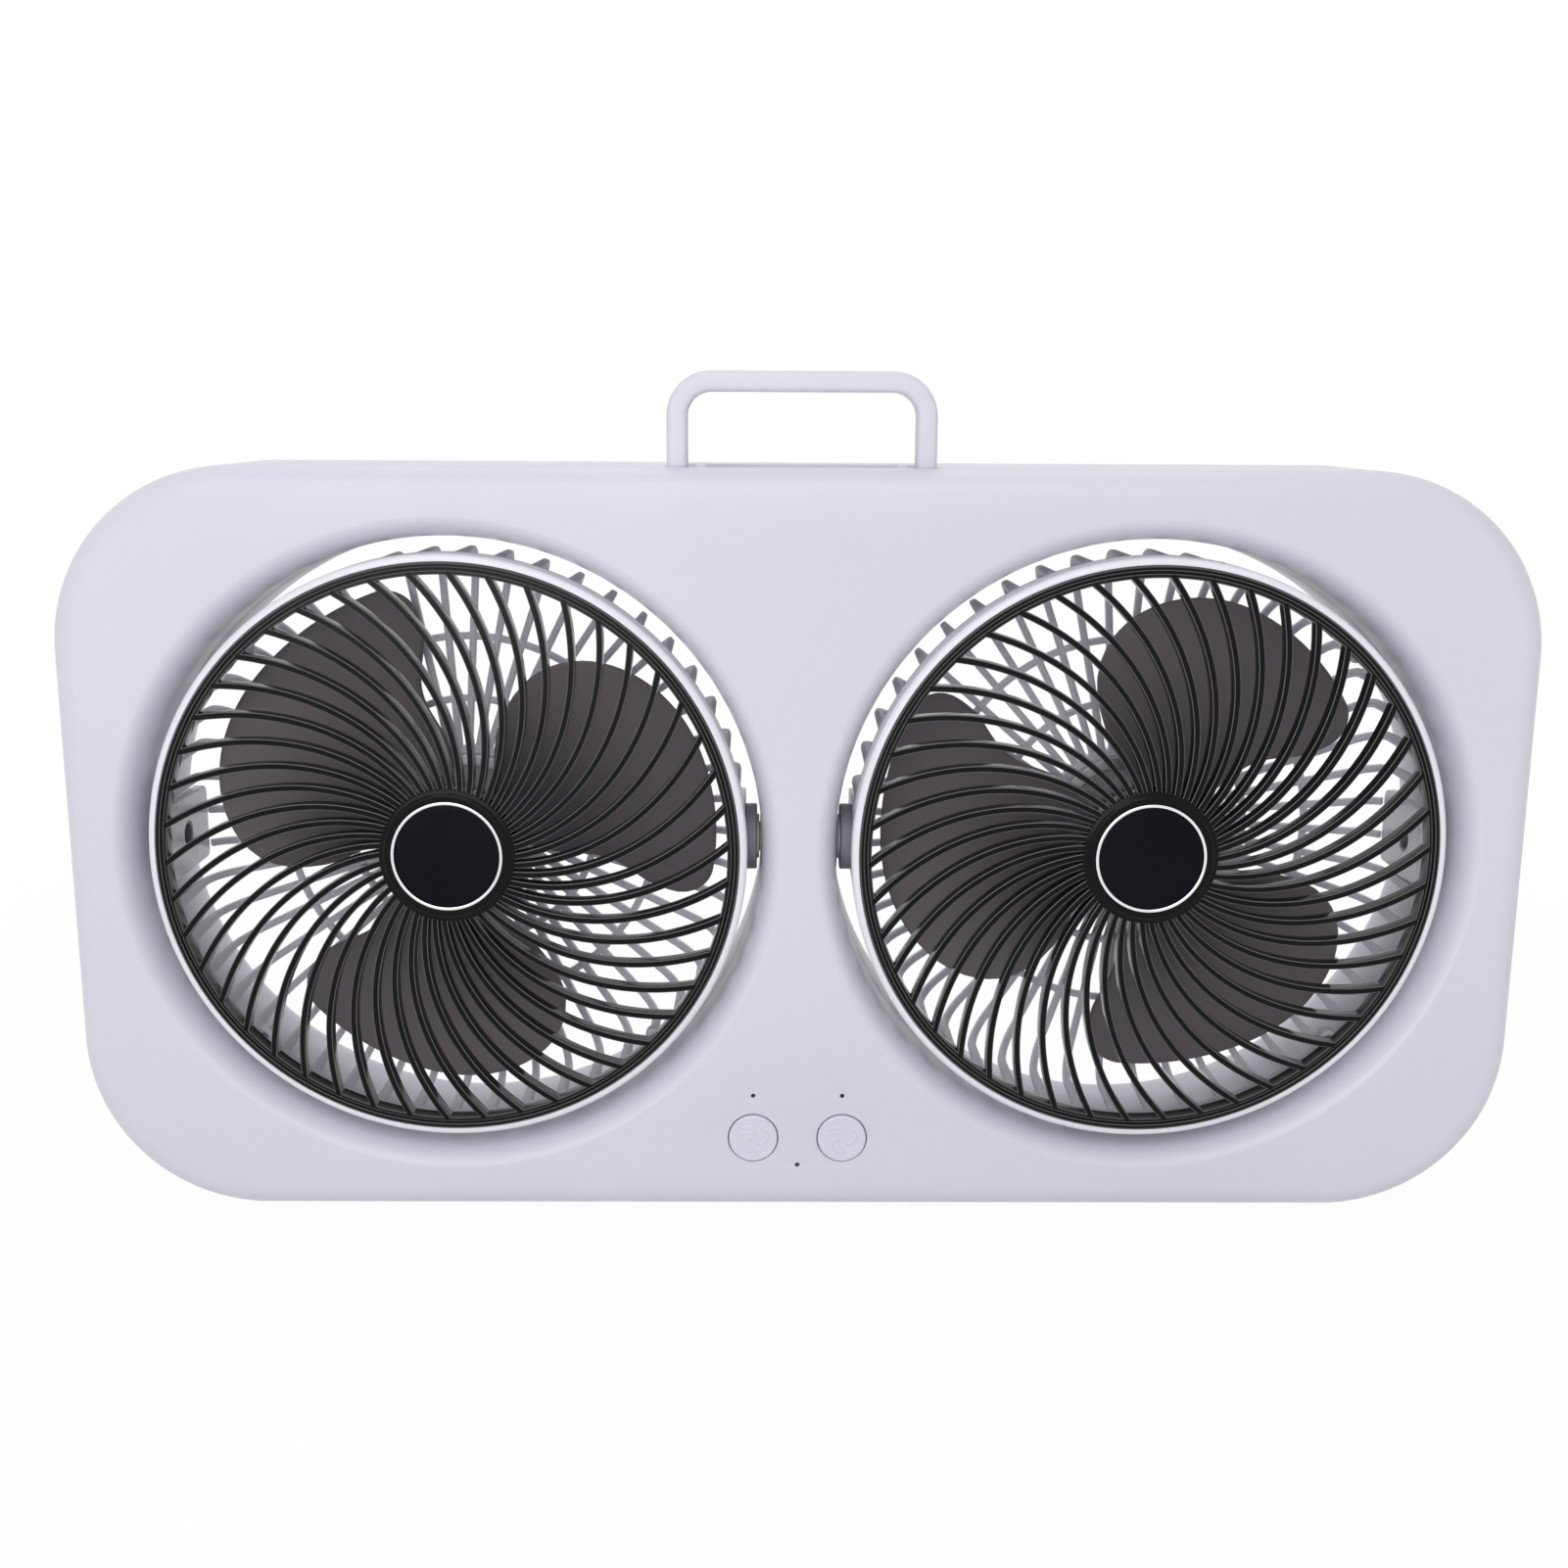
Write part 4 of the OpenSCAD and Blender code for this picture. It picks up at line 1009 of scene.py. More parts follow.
        outer_loops, inner_loops = [], []
        for sign in (-1, 1):
            spot = (sign * self.layout.head_x, 0.0)
            outer = self.funnel_profile(0.0, 0.0, tube, self.tube_round)
            inner = self.funnel_profile(self.wall, self.wall, tube, 0.0)
            both = np.vstack([outer, inner[::-1]])
            self._turned(skin, spot, both, depth_of, self.opening_steps)
            outer_loops.append(ring(float(outer[0, 0]), self.opening_steps, spot))
            inner_loops.append(ring(float(inner[0, 0]), self.opening_steps, spot))
        for spot, profile in holes:
            wide = profile[:, 0].max() > self.pinhole_r
            count = self.hole_steps if wide else self.pinhole_steps
            self._turned(skin, spot, profile, depth_of, count)
            if profile[0, 1] == 0:
                outer_loops.append(ring(float(profile[0, 0]), count, spot))
            if profile[-1, 1] == self.wall:
                inner_loops.append(ring(float(profile[-1, 0]), count, spot))
        if window is not None:
            outer_loops.append(window)
            inner_loops.append(window)
            ends = depth_of(np.array([0.0, self.wall]))
            rows = [self.place(window, float(d)) for d in ends]
            skin.grid(np.stack(rows, axis=1), wrap_u=True)
        for distance, loops in ((0.0, outer_loops), (self.wall, inner_loops)):
            edge_loop = self._face_loop(edge)
            depth = float(depth_of(np.array([distance]))[0])
            skin.plate([edge_loop, *loops], lambda p, d=depth: self.place(p, d))
        if pocket:
            self._pocket(skin, edge, seam)
        return skin.build()

    def _face_loop(self, edge: float) -> Array:
        """Outline of the flat face, where the rounded edge begins."""
        base, way = self.outline()
        return base + (self.corner_r - edge) * way

    def _turned(
        self,
        skin: Skin,
        spot: tuple[float, float],
        profile: Array,
        depth_of: Callable[[Array], Array],
        count: int,
    ) -> None:
        """Adds a turned opening or post about a spot on the face."""
        rows = np.column_stack([profile[:, 0], depth_of(profile[:, 1])])
        centre = (spot[0], self.layout.face_y, self.layout.head_z + spot[1])
        skin.grid(lathe(rows, centre, Axis.DEPTH, count), wrap_u=True)

    def _pocket(self, skin: Skin, edge: float, seam: float) -> None:
        """Adds the top wall round the pocket, and the tub of the pocket.

        Args:
            skin: Skin of the shell.
            edge: Radius of the shell's rounded edge.
            seam: Depth of the seam.
        """
        run = self.layout.half_w - self.corner_r
        top = self.layout.half_h
        mid = (self.pocket_front + self.pocket_back) / 2
        span = self.pocket_back - self.pocket_front
        soft, deep, foot = self.pocket_round, self.pocket_deep, self.pocket_foot

        def lay(height: float) -> Callable[[Array], Array]:
            """Carries (x, depth) to space at a height over the heads' axes."""
            def to_space(p: Array) -> Array:
                """Carries the rows at that height."""
                z = np.full(len(p), self.layout.head_z + height)
                return np.column_stack([p[:, 0], self.layout.face_y + p[:, 1], z])
            return to_space

        def tub(grow: float) -> Array:
            """Pocket outline, grown outwards."""
            width = 2 * (self.pocket_half + grow)
            return round_bar(width, span + 2 * grow, self.pocket_corner + grow, 5) + [0.0, mid]

        def strip(end: float) -> Array:
            """Flat run of the top wall, from the rounded edge to a depth."""
            return np.array([[run, edge], [run, end], [-run, end], [-run, edge]])

        skin.plate([strip(seam - self.seam_round), tub(soft)], lay(top))
        b = quarter(4)
        grows = np.concatenate([soft * (1 - np.sin(b)), -foot * (1 - np.cos(b))])
        falls = np.concatenate([-soft * (1 - np.cos(b)), -deep + foot * (1 - np.sin(b))])
        rows = [lay(top + f)(tub(g)) for g, f in zip(grows.tolist(), falls.tolist())]
        skin.grid(np.stack(rows, axis=1), wrap_u=True)
        skin.cap(rows[-1])
        back = (tub(0.0) - [0.0, mid]) * self.pocket_back_share + [0.0, mid]
        ceiling, low = lay(top - self.wall), lay(top - deep - self.pocket_floor)
        skin.plate([strip(seam), back], ceiling)
        skin.grid(np.stack([ceiling(back), low(back)], axis=1), wrap_u=True)
        skin.cap(low(back))

    def hole(self, radius: float, soft: float) -> Array:
        """Profile of a plain hole with a softened rim."""
        return np.vstack([self.mouth(radius, soft), [[radius, self.wall]]])

    def post(self, pilot: tuple[float, float], size: tuple[float, float]) -> Array:
        """Profile of a blind screw post inside the face.

        Args:
            pilot: Radius of its screw hole and distance of the hole's bottom.
            size: Radius of the post and distance of its end.

        Returns:
            Rows of (radius, distance), from the hole's bottom to the foot of the post.
        """
        return np.array([[0, pilot[1]], pilot, [pilot[0], size[1]], size, [size[0], self.wall]])

    def build_front(self) -> None:
        """Makes the front shell with its lips, holes, posts, pocket and ears."""
        seam = self.layout.seam_d
        boss = self.post(self.screw_pilot, (self.screw_boss_r, seam - self.screw_gap))
        stand = self.post(self.board_pilot, self.board_post)
        stands = [(x, self.board_mid_z + z) for x, z in four(*self.board_half)]
        button = self.hole(self.button_hole_r, self.hole_round)
        light = self.hole(self.light_r, self.light_round)
        holes = [(spot, button) for spot in self.button_spots]
        holes += [(spot, light) for spot in self.light_spots]
        holes += [(spot, boss) for spot in self.screw_spots]
        holes += [(spot, stand) for spot in stands]
        shell = self.shell("front_housing", self.front_edge, seam, self.layout.pivot_d,
                           lambda t: t, holes, pocket=True)
        self.dresser.piece(shell, "housing_white", "housing", "front_shell")
        self.dresser.piece(self.ears(), "housing_white", "housing")

    def ears(self) -> bpy.types.Object:
        """Two ears in the pocket that hold the handle's pins: round tops on straight sides."""
        skin = Skin("handle_ears")
        soft, half = self.ear_round, self.ear_w / 2
        pin_y = self.layout.face_y + self.layout.handle_pin_d
        pin_z = self.layout.top_z - self.layout.handle_pin_sink
        foot = self.pocket_deep - self.layout.handle_pin_sink
        a = np.linspace(0, math.pi, 17)
        for sign in (-1, 1):
            loops = []
            ends = ((-half, soft), (soft - half, 0.0), (half - soft, 0.0), (half, soft))
            for along, inset in ends:
                r = self.ear_r - inset
                y = np.concatenate([r * np.cos(a), [-r, r]])
                z = np.concatenate([r * np.sin(a), [-foot, -foot]])
                x = np.full(len(y), sign * self.ear_x + along)
                loops.append(np.column_stack([x, pin_y + y, pin_z + z]))
            skin.bar(np.stack(loops))
        return skin.build()

    def build_rear(self) -> None:
        """Makes the rear shell with its screw wells and the socket's window."""
        back = self.layout.body_d
        well, post = back - self.well_d, back - self.layout.seam_d
        steps = [(self.well_r, well), (self.screw_hole_r, well), (self.screw_hole_r, post),
                 (self.well_post_r, post), (self.well_post_r, self.wall)]
        screw = np.vstack([self.mouth(self.well_r, self.well_round), steps])
        holes = [(spot, screw) for spot in self.screw_spots]
        window = round_bar(*self.window_size, 8) + [0.0, self.window_z]
        shell = self.shell("rear_housing", self.back_edge, post, back - self.layout.pivot_d,
                           lambda t: back - t, holes, pocket=False, window=window)
        self.dresser.piece(shell, "housing_white", "housing", "rear_shell")


@dataclass
class Handle:
    """Folding carry handle, a bar of rounded section bent into a U."""

    layout: Layout
    dresser: Dresser
    half: float = 38.4
    height: float = 28.8
    bar: float = 5.9
    thick: float = 8.0
    corner: float = 12.7
    soft: float = 1.5

    def build(self) -> None:
        """Makes the handle: straight legs, quarter-circle corners and a straight top."""
        mid = self.half - self.bar / 2
        bend = self.corner - self.bar / 2
        rise = self.height - self.corner
        t, a = quarter(12)[:-1], quarter(16)
        leg = np.column_stack([np.full(len(t), mid), -self.thick / 2 * np.cos(t)])
        arc = np.column_stack([mid - bend + bend * np.cos(a), rise + bend * np.sin(a)])
        half = np.vstack([leg, [[mid, 0.0]], arc])
        out = np.tile([1.0, 0.0], (len(half), 1))
        out[len(leg) + 1:] = np.column_stack([np.cos(a), np.sin(a)])
        squeeze = np.ones(len(half))
        squeeze[:len(leg)] = np.sin(t)
        path, side = np.vstack([half, flip(half)]), np.vstack([out, flip(out)])
        section = round_bar(self.bar, self.thick, self.soft, 5)
        sections = stretched(section, np.concatenate([squeeze, squeeze[::-1]]))
        flat = np.zeros(len(path))
        pin = np.array([0.0, self.layout.face_y + self.layout.handle_pin_d,
                        self.layout.top_z - self.layout.handle_pin_sink])
        skin = Skin("bail_handle")
        skin.bar(sweep(
            np.column_stack([path[:, 0], flat, path[:, 1]]) + pin,
            np.column_stack([side[:, 0], flat, side[:, 1]]),
            np.tile([0.0, 1.0, 0.0], (len(path), 1)),
            sections,
        ))
        self.dresser.piece(skin.build(), "handle_white", "handle", "carry_handle")


@dataclass
class Buttons:
    """Two push buttons, each with a faint raised three-blade mark."""

    layout: Layout
    dresser: Dresser
    radius: float = 7.3
    proud: float = 0.6
    soft: float = 0.5
    dish: float = 0.18
    collar_r: float = 8.7
    collar: tuple[float, float] = (2.7, 3.9)
    stem_r: float = 1.7
    stem_d: float = 5.0
    mark_r: float = 4.6
    mark_h: float = 0.2
    mark_swirl: float = 0.32
    petal_mid: float = 2.9
    petal_reach: float = 1.9
    petal_half: float = 0.62
    petal_line: float = 0.2
    petal_soft: float = 0.08
    petal_hollow: float = 0.75
    line_past: float = 0.4
    steps: int = 180

    def mark(self, r: Array, a: Array) -> Array:
        """Height of the mark: three swept petals, lower inside their outlines.

        A petal is the band of angles that lies within a half width of a spiral. The half
        width is that of an ellipse over the radii that the petal reaches.

        Args:
            r: Radii on the cap.
            a: Angles on the cap.

        Returns:
            Heights from 0 to 1.
        """
        turn = (a - self.mark_swirl * r) % (FULL_TURN / 3) - FULL_TURN / 6
        reach = ((r - self.petal_mid) / self.petal_reach) ** 2
        wide = self.petal_half * np.sqrt(np.clip(1 - reach, 0, 1)) - np.abs(turn)
        soft = self.petal_soft
        body = smoothstep(-soft, soft, wide) * (r < self.mark_r + self.line_past)
        core = smoothstep(-soft, soft, wide - self.petal_line) * (r < self.mark_r)
        return np.clip(body - self.petal_hollow * core, 0, 1)

    def build(self) -> None:
        """Makes both caps: a shallow dish with a rounded rim on a straight skirt."""
        flat = self.radius - self.soft
        r = np.linspace(0, flat, 46)
        a = np.linspace(0, FULL_TURN, self.steps, endpoint=False)
        rr, aa = np.meshgrid(r, a)
        depth = self.dish * (1 - (rr / flat) ** 2) - self.proud - self.mark_h * self.mark(rr, aa)
        b = quarter(6)
        rim = np.column_stack(
            [flat + self.soft * np.sin(b), self.soft * (1 - np.cos(b)) - self.proud])
        front, back = self.collar
        tail = [[self.radius, front], [self.collar_r, front], [self.collar_r, back],
                [self.stem_r, back], [self.stem_r, self.stem_d], [0, self.stem_d]]
        for side in Side:
            centre = (side.sign * self.layout.button_x, self.layout.face_y,
                      self.layout.head_z + self.layout.button_z)
            top = np.stack([rr * np.cos(aa), depth, rr * np.sin(aa)], axis=-1) + centre
            name = f"{side.value}_button_cap"
            skin = Skin(name)
            skin.grid(top, wrap_u=True)
            skin.grid(lathe(np.vstack([rim, tail]), centre, Axis.DEPTH, self.steps), wrap_u=True)
            self.dresser.piece(skin.build(), "button_white", name, f"{side.value}_button")


# Heads


@dataclass
class Head:
    """One fan head: hoop, grilles, hub, motor, pivots and fan."""

    layout: Layout
    dresser: Dresser
    side: Side
    hoop_depth: float = 8.0
    hoop_front: float = 0.4
    hoop_round: float = 1.75
    seat_lap: float = 1.7
    fit: float = 0.1
    rim_depth: float = 5.0
    rim_w: float = 3.5
    rim_wall: float = 1.25
    rim_groove: tuple[float, float] = (0.8, 0.9)
    rim_lands: tuple[float, ...] = (0.45, 0.85, 2.45, 3.0)
    # Share of the painted highlight on the rim's rounded front edges.
    rim_painted_highlight: float = 0.6
    boss_r: float = 20.0
    boss_proud: float = 1.85
    boss_bevel: tuple[float, float] = (2.0, 1.3)
    boss_falls: tuple[float, float] = (0.55, 0.75)
    boss_wall: float = 2.5
    boss_back: float = 1.5
    cap_r: float = 15.3
    cap_seat: float = 1.0
    cap_bevel: float = 0.45
    cap_sink: float = 0.05
    cap_dome: float = 0.12
    trim_w: float = 0.95
    trim_proud: float = 0.35
    rib_count: int = 46
    rib_w: float = 1.9
    rib_depth: float = 4.5
    rib_turn: float = 33.5
    rib_phase: float = -0.5
    rib_dome: float = 1.1
    rib_round: float = 0.3
    rib_core: float = 0.36
    # Reach and fade of the painted highlight along the front corners of each rib.
    rib_painted_highlight: tuple[float, float] = (0.29, 0.12)
    rib_laps: tuple[float, float] = (1.2, 0.8)
    cage_ribs: int = 48
    cage_r: float = 87.0
    cage_depth: float = 47.0
    cage_rib_w: float = 2.2
    cage_rib_t: float = 2.5
    cage_lean: float = 2.0
    cage_trim: float = 50.0
    cage_lap: float = 0.4
    rib_root: float = 1.7
    shoulder_r: float = 10.0
    rings: tuple[float, float] = (39.0, 58.5)
    ring_thin: float = 0.6
    band_out: float = 0.3
    band_depth: float = 3.0
    lug_r: float = 2.8
    lug_bore: float = 1.3
    lug_depth: float = 5.0
    plate_r: float = 24.0
    plate_bore: float = 4.0
    cover_inset: float = 0.6
    cover_wall: float = 1.6
    cover_depth: float = 5.0
    pad_half: float = 11.5
    pad_out: float = 86.5
    pad_t: float = 3.3
    pad_round: float = 2.5
    pad_bevel: float = 0.4
    pad_bore: float = 4.1
    pad_gaps: tuple[float, float] = (0.5, 0.3)
    blade_r: float = 77.4
    blade_span: float = 87.0
    blade_rise: float = 29.0
    blade_t: float = 1.6
    blade_mid: float = 24.2
    blade_lap: float = 0.9
    blade_thin: tuple[float, float] = (0.012, 0.015)
    trail_from: float = 0.36
    trail_share: float = 0.56
    trail_power: float = 2.2
    trail_cut: float = 16.0
    lead_share: float = 0.1
    lead_drop: float = 12.0
    lead_bow: float = 5.5
    bow_ends: tuple[float, float] = (3.0, 15.0)
    hub_r: float = 19.0
    hub_front: float = 12.0
    hub_back: float = 39.0
    hub_wall: float = 1.8
    shaft_hole_r: float = 1.51
    hub_sleeve: tuple[float, float] = (4.0, 16.3)
    nut_r: float = 4.5
    nut_front: float = 8.5
    can_gap: float = 3.5
    can_bore: float = 1.55
    can_nose: tuple[float, float] = (4.0, 16.8)
    can_front: tuple[float, float] = (18.0, 19.0)
    can_groove: tuple[float, ...] = (31.5, 32.0, 33.0, 33.5)
    can_groove_deep: float = 0.35
    flange_r: float = 22.0
    flange_t: float = 3.5
    pivot_bore: float = 3.2
    pivot_wall: float = 0.8
    pivot_sink: float = 0.2
    pivot_flange: tuple[float, float] = (10.0, 3.5)
    axle_r: float = 4.5
    axle_end: float = 101.5
    turns: dict[Side, float] = field(default_factory=lambda: {Side.LEFT: 95.1, Side.RIGHT: 54.0})

    @property
    def centre(self) -> tuple[float, float, float]:
        """Middle of the head on the housing's face."""
        return self.side.sign * self.layout.head_x, self.layout.face_y, self.layout.head_z

    @property
    def seat_r(self) -> float:
        """Inner radius of the hoop behind the black rim."""
        return self.layout.rim_r - self.rim_w + self.seat_lap

    @property
    def plate_ends(self) -> tuple[float, float]:
        """Depths of the motor plate's front and back."""
        return self.cage_depth - self.cage_rib_t - self.cage_lap, self.cage_depth + self.cage_lap

    def name(self, part: str) -> str:
        """Name of one of this head's parts."""
        return f"{self.side.value}_{part}"

    def body(self, rotor: bool = False) -> str:
        """Body of the head or of its fan."""
        return self.name("fan_rotor" if rotor else "head")

    def turned(
        self,
        part: str,
        profile: Array,
        slot: str,
        node: str,
        count: int = 192,
        rotor: bool = False,
        hollow: bool = True,
    ) -> None:
        """Makes a turned piece of the head and dresses it for one CAD node.

        Args:
            part: Name of the piece without its side.
            profile: Rows of (radius, depth).
            slot: Its material slot.
            node: CAD node that it replaces, without its side.
            count: Columns round it.
            rotor: Whether it turns with the fan.
            hollow: Whether its profile closes on itself, away from the axis.
        """
        skin = Skin(self.name(part))
        self.turn(skin, profile, count, hollow)
        self.dresser.piece(skin.build(), slot, self.body(rotor), self.name(node))

    def turn(self, skin: Skin, profile: Array, count: int, hollow: bool = True) -> None:
        """Adds a shape turned about the head's axis to a skin."""
        skin.grid(lathe(profile, self.centre, Axis.DEPTH, count), wrap_u=True, wrap_v=hollow)

    def build(self) -> None:
        """Makes every piece of the head."""
        self.hoop()
        self.front_grille()
        self.hub()
        self.rear_grille()
        self.fan()
        self.motor()
        for way in (-1, 1):
            self.pivot(way)

    def hoop(self) -> None:
        """White hoop: a ring of rounded section with two pads that carry the pivots."""
        outer, step = self.layout.hoop_r, self.layout.rim_r + self.fit
        front, floor = self.hoop_front, self.rim_depth + self.fit
        profile = rounded_path([
            (step, front, 0.3), (outer, front, self.hoop_round), (outer, self.hoop_depth, 0.4),
            (self.seat_r, self.hoop_depth, 0.3), (self.seat_r, floor, 0.2), (step, floor, 0.0)], 8)
        skin = Skin(self.name("white_hoop"))
        self.turn(skin, profile, 288)
        for sign in (-1, 1):
            self._pad(skin, sign)
        self.dresser.piece(skin.build(), "hoop_white", self.body(), self.name("hoop"))

    def _pad(self, skin: Skin, sign: int) -> None:
        """Adds a flat pad with a bevelled rim and a bore.

        Args:
            skin: Skin of the hoop.
            sign: 1 for the pad towards +X and -1 for the one towards -X.
        """
        front = self.rim_depth + self.pad_gaps[0]
        back = self.cage_depth - self.cage_rib_t - self.pad_gaps[1]
        inner, outer, bevel = self.pad_out - self.pad_t, self.pad_out, self.pad_bevel
        bore = ring(self.pad_bore, 48) + [self.layout.pivot_d, 0.0]

        def lay(p: Array, x: float) -> Array:
            """Carries (depth, height) to space at a distance across."""
            flat = np.full(len(p), sign * x)
            return np.column_stack([flat, p[:, 0], p[:, 1]]) + self.centre

        rows = []
        layers = ((inner, bevel), (inner + bevel, 0.0), (outer - bevel, 0.0), (outer, bevel))
        for x, inset in layers:
            loop = round_bar(
                back - front - 2 * inset, 2 * (self.pad_half - inset), self.pad_round - inset, 6)
            rows.append((x, loop + [(front + back) / 2, 0.0]))
        skin.grid(np.stack([lay(p, x) for x, p in rows]), wrap_v=True)
        for x, p in (rows[0], rows[-1]):
            skin.plate([p, bore], lambda q, x=x: lay(q, x))
        skin.grid(np.stack([lay(bore, inner), lay(bore, outer)]), wrap_v=True)

    def rib_sweep(self) -> tuple[Array, Array]:
        """Grid of one curved rib and the painted highlight round its section.

        The rib's angle grows evenly with its radius. It stands forward near the boss by
        its dome times the 1.5th power of the share of the way that is left to the rim.

        Returns:
            The grid about the origin, and the painted highlight share of each point of its
            section.
        """
        rim_in = self.layout.rim_r - self.rim_w
        inner, outer = self.boss_r - self.rib_laps[0], rim_in + self.rib_laps[1]
        close = np.array([0.0, 0.1, 0.2, 0.3])
        middle = np.linspace(inner + 0.6, outer - 0.5, 31)
        r = np.concatenate([inner + close, middle, outer - close[::-1]])
        slope = math.radians(self.rib_turn) / (rim_in - self.boss_r)
        a = math.radians(self.rib_phase) + slope * (r - self.boss_r)
        share = np.clip((outer - r) / (outer - inner), 0, 1)
        half_w, half_d = self.rib_w / 2, self.rib_depth / 2
        path = np.column_stack([r * np.cos(a), half_d - self.rib_dome * share**1.5, r * np.sin(a)])
        run = np.gradient(path, axis=0)
        run /= np.linalg.norm(run, axis=1)[:, None]
        depth = np.tile([0.0, 1.0, 0.0], (len(r), 1))
        soft, core, low = self.rib_round, half_w - self.rib_core, self.rib_core - half_d
        section = rounded_path([
            (half_w, -half_d, soft), (half_w, low, 0.0), (half_w, half_d, soft),
            (-half_w, half_d, soft), (-half_w, low, 0.0), (-half_w, -half_d, soft),
            (-core, -half_d, 0.0), (core, -half_d, 0.0)], 4)
        # Painted highlight: a lighter colour near the rib's two front corners.
        off_corner = np.hypot(half_w - np.abs(section[:, 0]), section[:, 1] + half_d)
        reach, fade = self.rib_painted_highlight
        painted_highlight = np.clip((reach - off_corner) / fade, 0, 1)
        return sweep(path, np.cross(depth, run), depth, section), painted_highlight

    def spin(self, points: Array, angle: float) -> Array:
        """Points turned about the head's axis, drawn about the origin, and set in place."""
        c, s = math.cos(angle), math.sin(angle)
        x, y, z = points[..., 0], points[..., 1], points[..., 2]
        return np.stack([x * c - z * s, y, x * s + z * c], axis=-1) + np.array(self.centre)

    def front_grille(self) -> None:
        """Black grille: curved ribs between a grooved double rim and the boss."""
        skin = Skin(self.name("black_grille"))
        rib, painted_highlight = self.rib_sweep()
        for k in range(self.rib_count):
            skin.bar(self.spin(rib, FULL_TURN * k / self.rib_count), painted_highlight)
        self.turn_rim(skin)
        self.turn(skin, self.boss_profile(), 192, hollow=False)
        self.dresser.piece(skin.build(), "grille_black", self.body(), self.name("front_grille"))

    def turn_rim(self, skin: Skin) -> None:
        """Adds the rim with its groove, with a painted highlight on the rounded edges of its front
        and none on its flat front lands.
        """
        out, inner, deep = self.layout.rim_r, self.layout.rim_r - self.rim_w, self.rim_depth
        groove_w, groove_d = self.rim_groove
        lands = inner + np.array(self.rim_lands)
        first, last = inner + self.rim_wall, inner + self.rim_wall + groove_w
        profile = rounded_path([
            (inner, 0.0, 0.25), (lands[0], 0.0, 0.0), (lands[1], 0.0, 0.0), (first, 0.0, 0.2),
            (first, groove_d, 0.1), (last, groove_d, 0.1), (last, 0.0, 0.2), (lands[2], 0.0, 0.0),
            (lands[3], 0.0, 0.0), (out, 0.0, 0.3), (out, deep, 0.3), (inner, deep, 0.5)], 5)
        # Painted highlight on the front's rounded edges; the flat lands stay dark.
        off_land = np.abs(profile[:, :1] - lands).min(axis=1) > 0.01
        painted_highlight = self.rim_painted_highlight * (off_land & (profile[:, 1] < 0.31))
        skin.grid(lathe(profile, self.centre, Axis.DEPTH, 288), True, True, painted_highlight=painted_highlight)

    def boss_profile(self) -> Array:
        """Profile of the boss: a flat ring round the cap's seat, then a step down to the ribs."""
        bore, radius = self.cap_r + self.trim_w + self.fit, self.boss_r
        front, seat = -self.boss_proud, self.cap_seat - self.boss_proud
        bevel_in, bevel_out = radius - self.boss_bevel[0], radius - self.boss_bevel[1]
        wall, back = radius - self.boss_wall, self.boss_back
        first, second = (front + fall for fall in self.boss_falls)
        return rounded_path([
            (0, seat, 0), (bore, seat, 0.0), (bore, front, 0.2), (bevel_in, front, 0.6),
            (bevel_out, first, 0.3), (radius, second, 0.6), (radius, self.rim_depth, 0.5),
            (wall, self.rim_depth, 0.4), (wall, back, 0.5), (0, back, 0)], 5, closed=False)

    def hub(self) -> None:
        """Dark cap, faintly domed, and the bright ring round it."""
        floor, top = self.cap_seat - self.boss_proud, self.cap_sink - self.boss_proud
        r = np.linspace(0, self.cap_r - self.cap_bevel, 20)
        dome = np.column_stack([r, top + self.cap_dome * (r / self.cap_r) ** 2])
        side = self.cap_r - self.fit
        edge = [[side - 0.08, top + self.cap_bevel - 0.23], [side, top + self.cap_bevel],
                [side, floor], [0, floor]]
        self.turned("dark_cap", np.vstack([dome, edge]), "cap_dark", "hub_cap", hollow=False)
        inner, outer = self.cap_r, self.cap_r + self.trim_w
        front = -self.boss_proud - self.trim_proud
        trim = rounded_path([
            (inner, front, 0.3), (outer, front, 0.3), (outer, floor, 0.0), (inner, floor, 0.0)], 5)
        self.turned("bright_ring", trim, "ring_chrome", "hub_ring")

    def fin_sweep(self, trimmed: bool) -> Array:
        """Grid of one rear rib: up the side, round the shoulder and in to the motor plate.

        Args:
            trimmed: Whether it starts on the shoulder, clear of a pivot pad.

        Returns:
            Grid about the origin, with the rib along +X.
        """
        bend = self.shoulder_r - self.cage_rib_t / 2
        cx, cy = self.cage_r - self.shoulder_r, self.cage_depth - self.shoulder_r
        first = math.radians(self.cage_trim) if trimmed else 0.0
        a = np.linspace(first, math.pi / 2, 10)
        out = np.column_stack([np.cos(a), np.sin(a)])
        path = np.vstack([[cx, cy] + bend * out, [[self.plate_r - 2.0, cy + bend]]])
        side = np.vstack([out, [[0.0, 1.0]]])
        if not trimmed:
            path = np.vstack([[[cx + bend, self.hoop_depth + self.cage_lap]], path])
            side = np.vstack([[[1.0, 0.0]], side])
        section = round_bar(self.cage_rib_t, self.cage_rib_w, 0.6, 3)
        wide = np.interp(path[:, 1], [self.hoop_depth, cy], [self.rib_root, 1.0])
        return sweep(
            np.column_stack([path, np.full(len(path), self.cage_lean)]),
            np.column_stack([side, np.zeros(len(side))]),
            np.tile([0.0, 0.0, 1.0], (len(path), 1)),
            stretched(section, wide),
        )

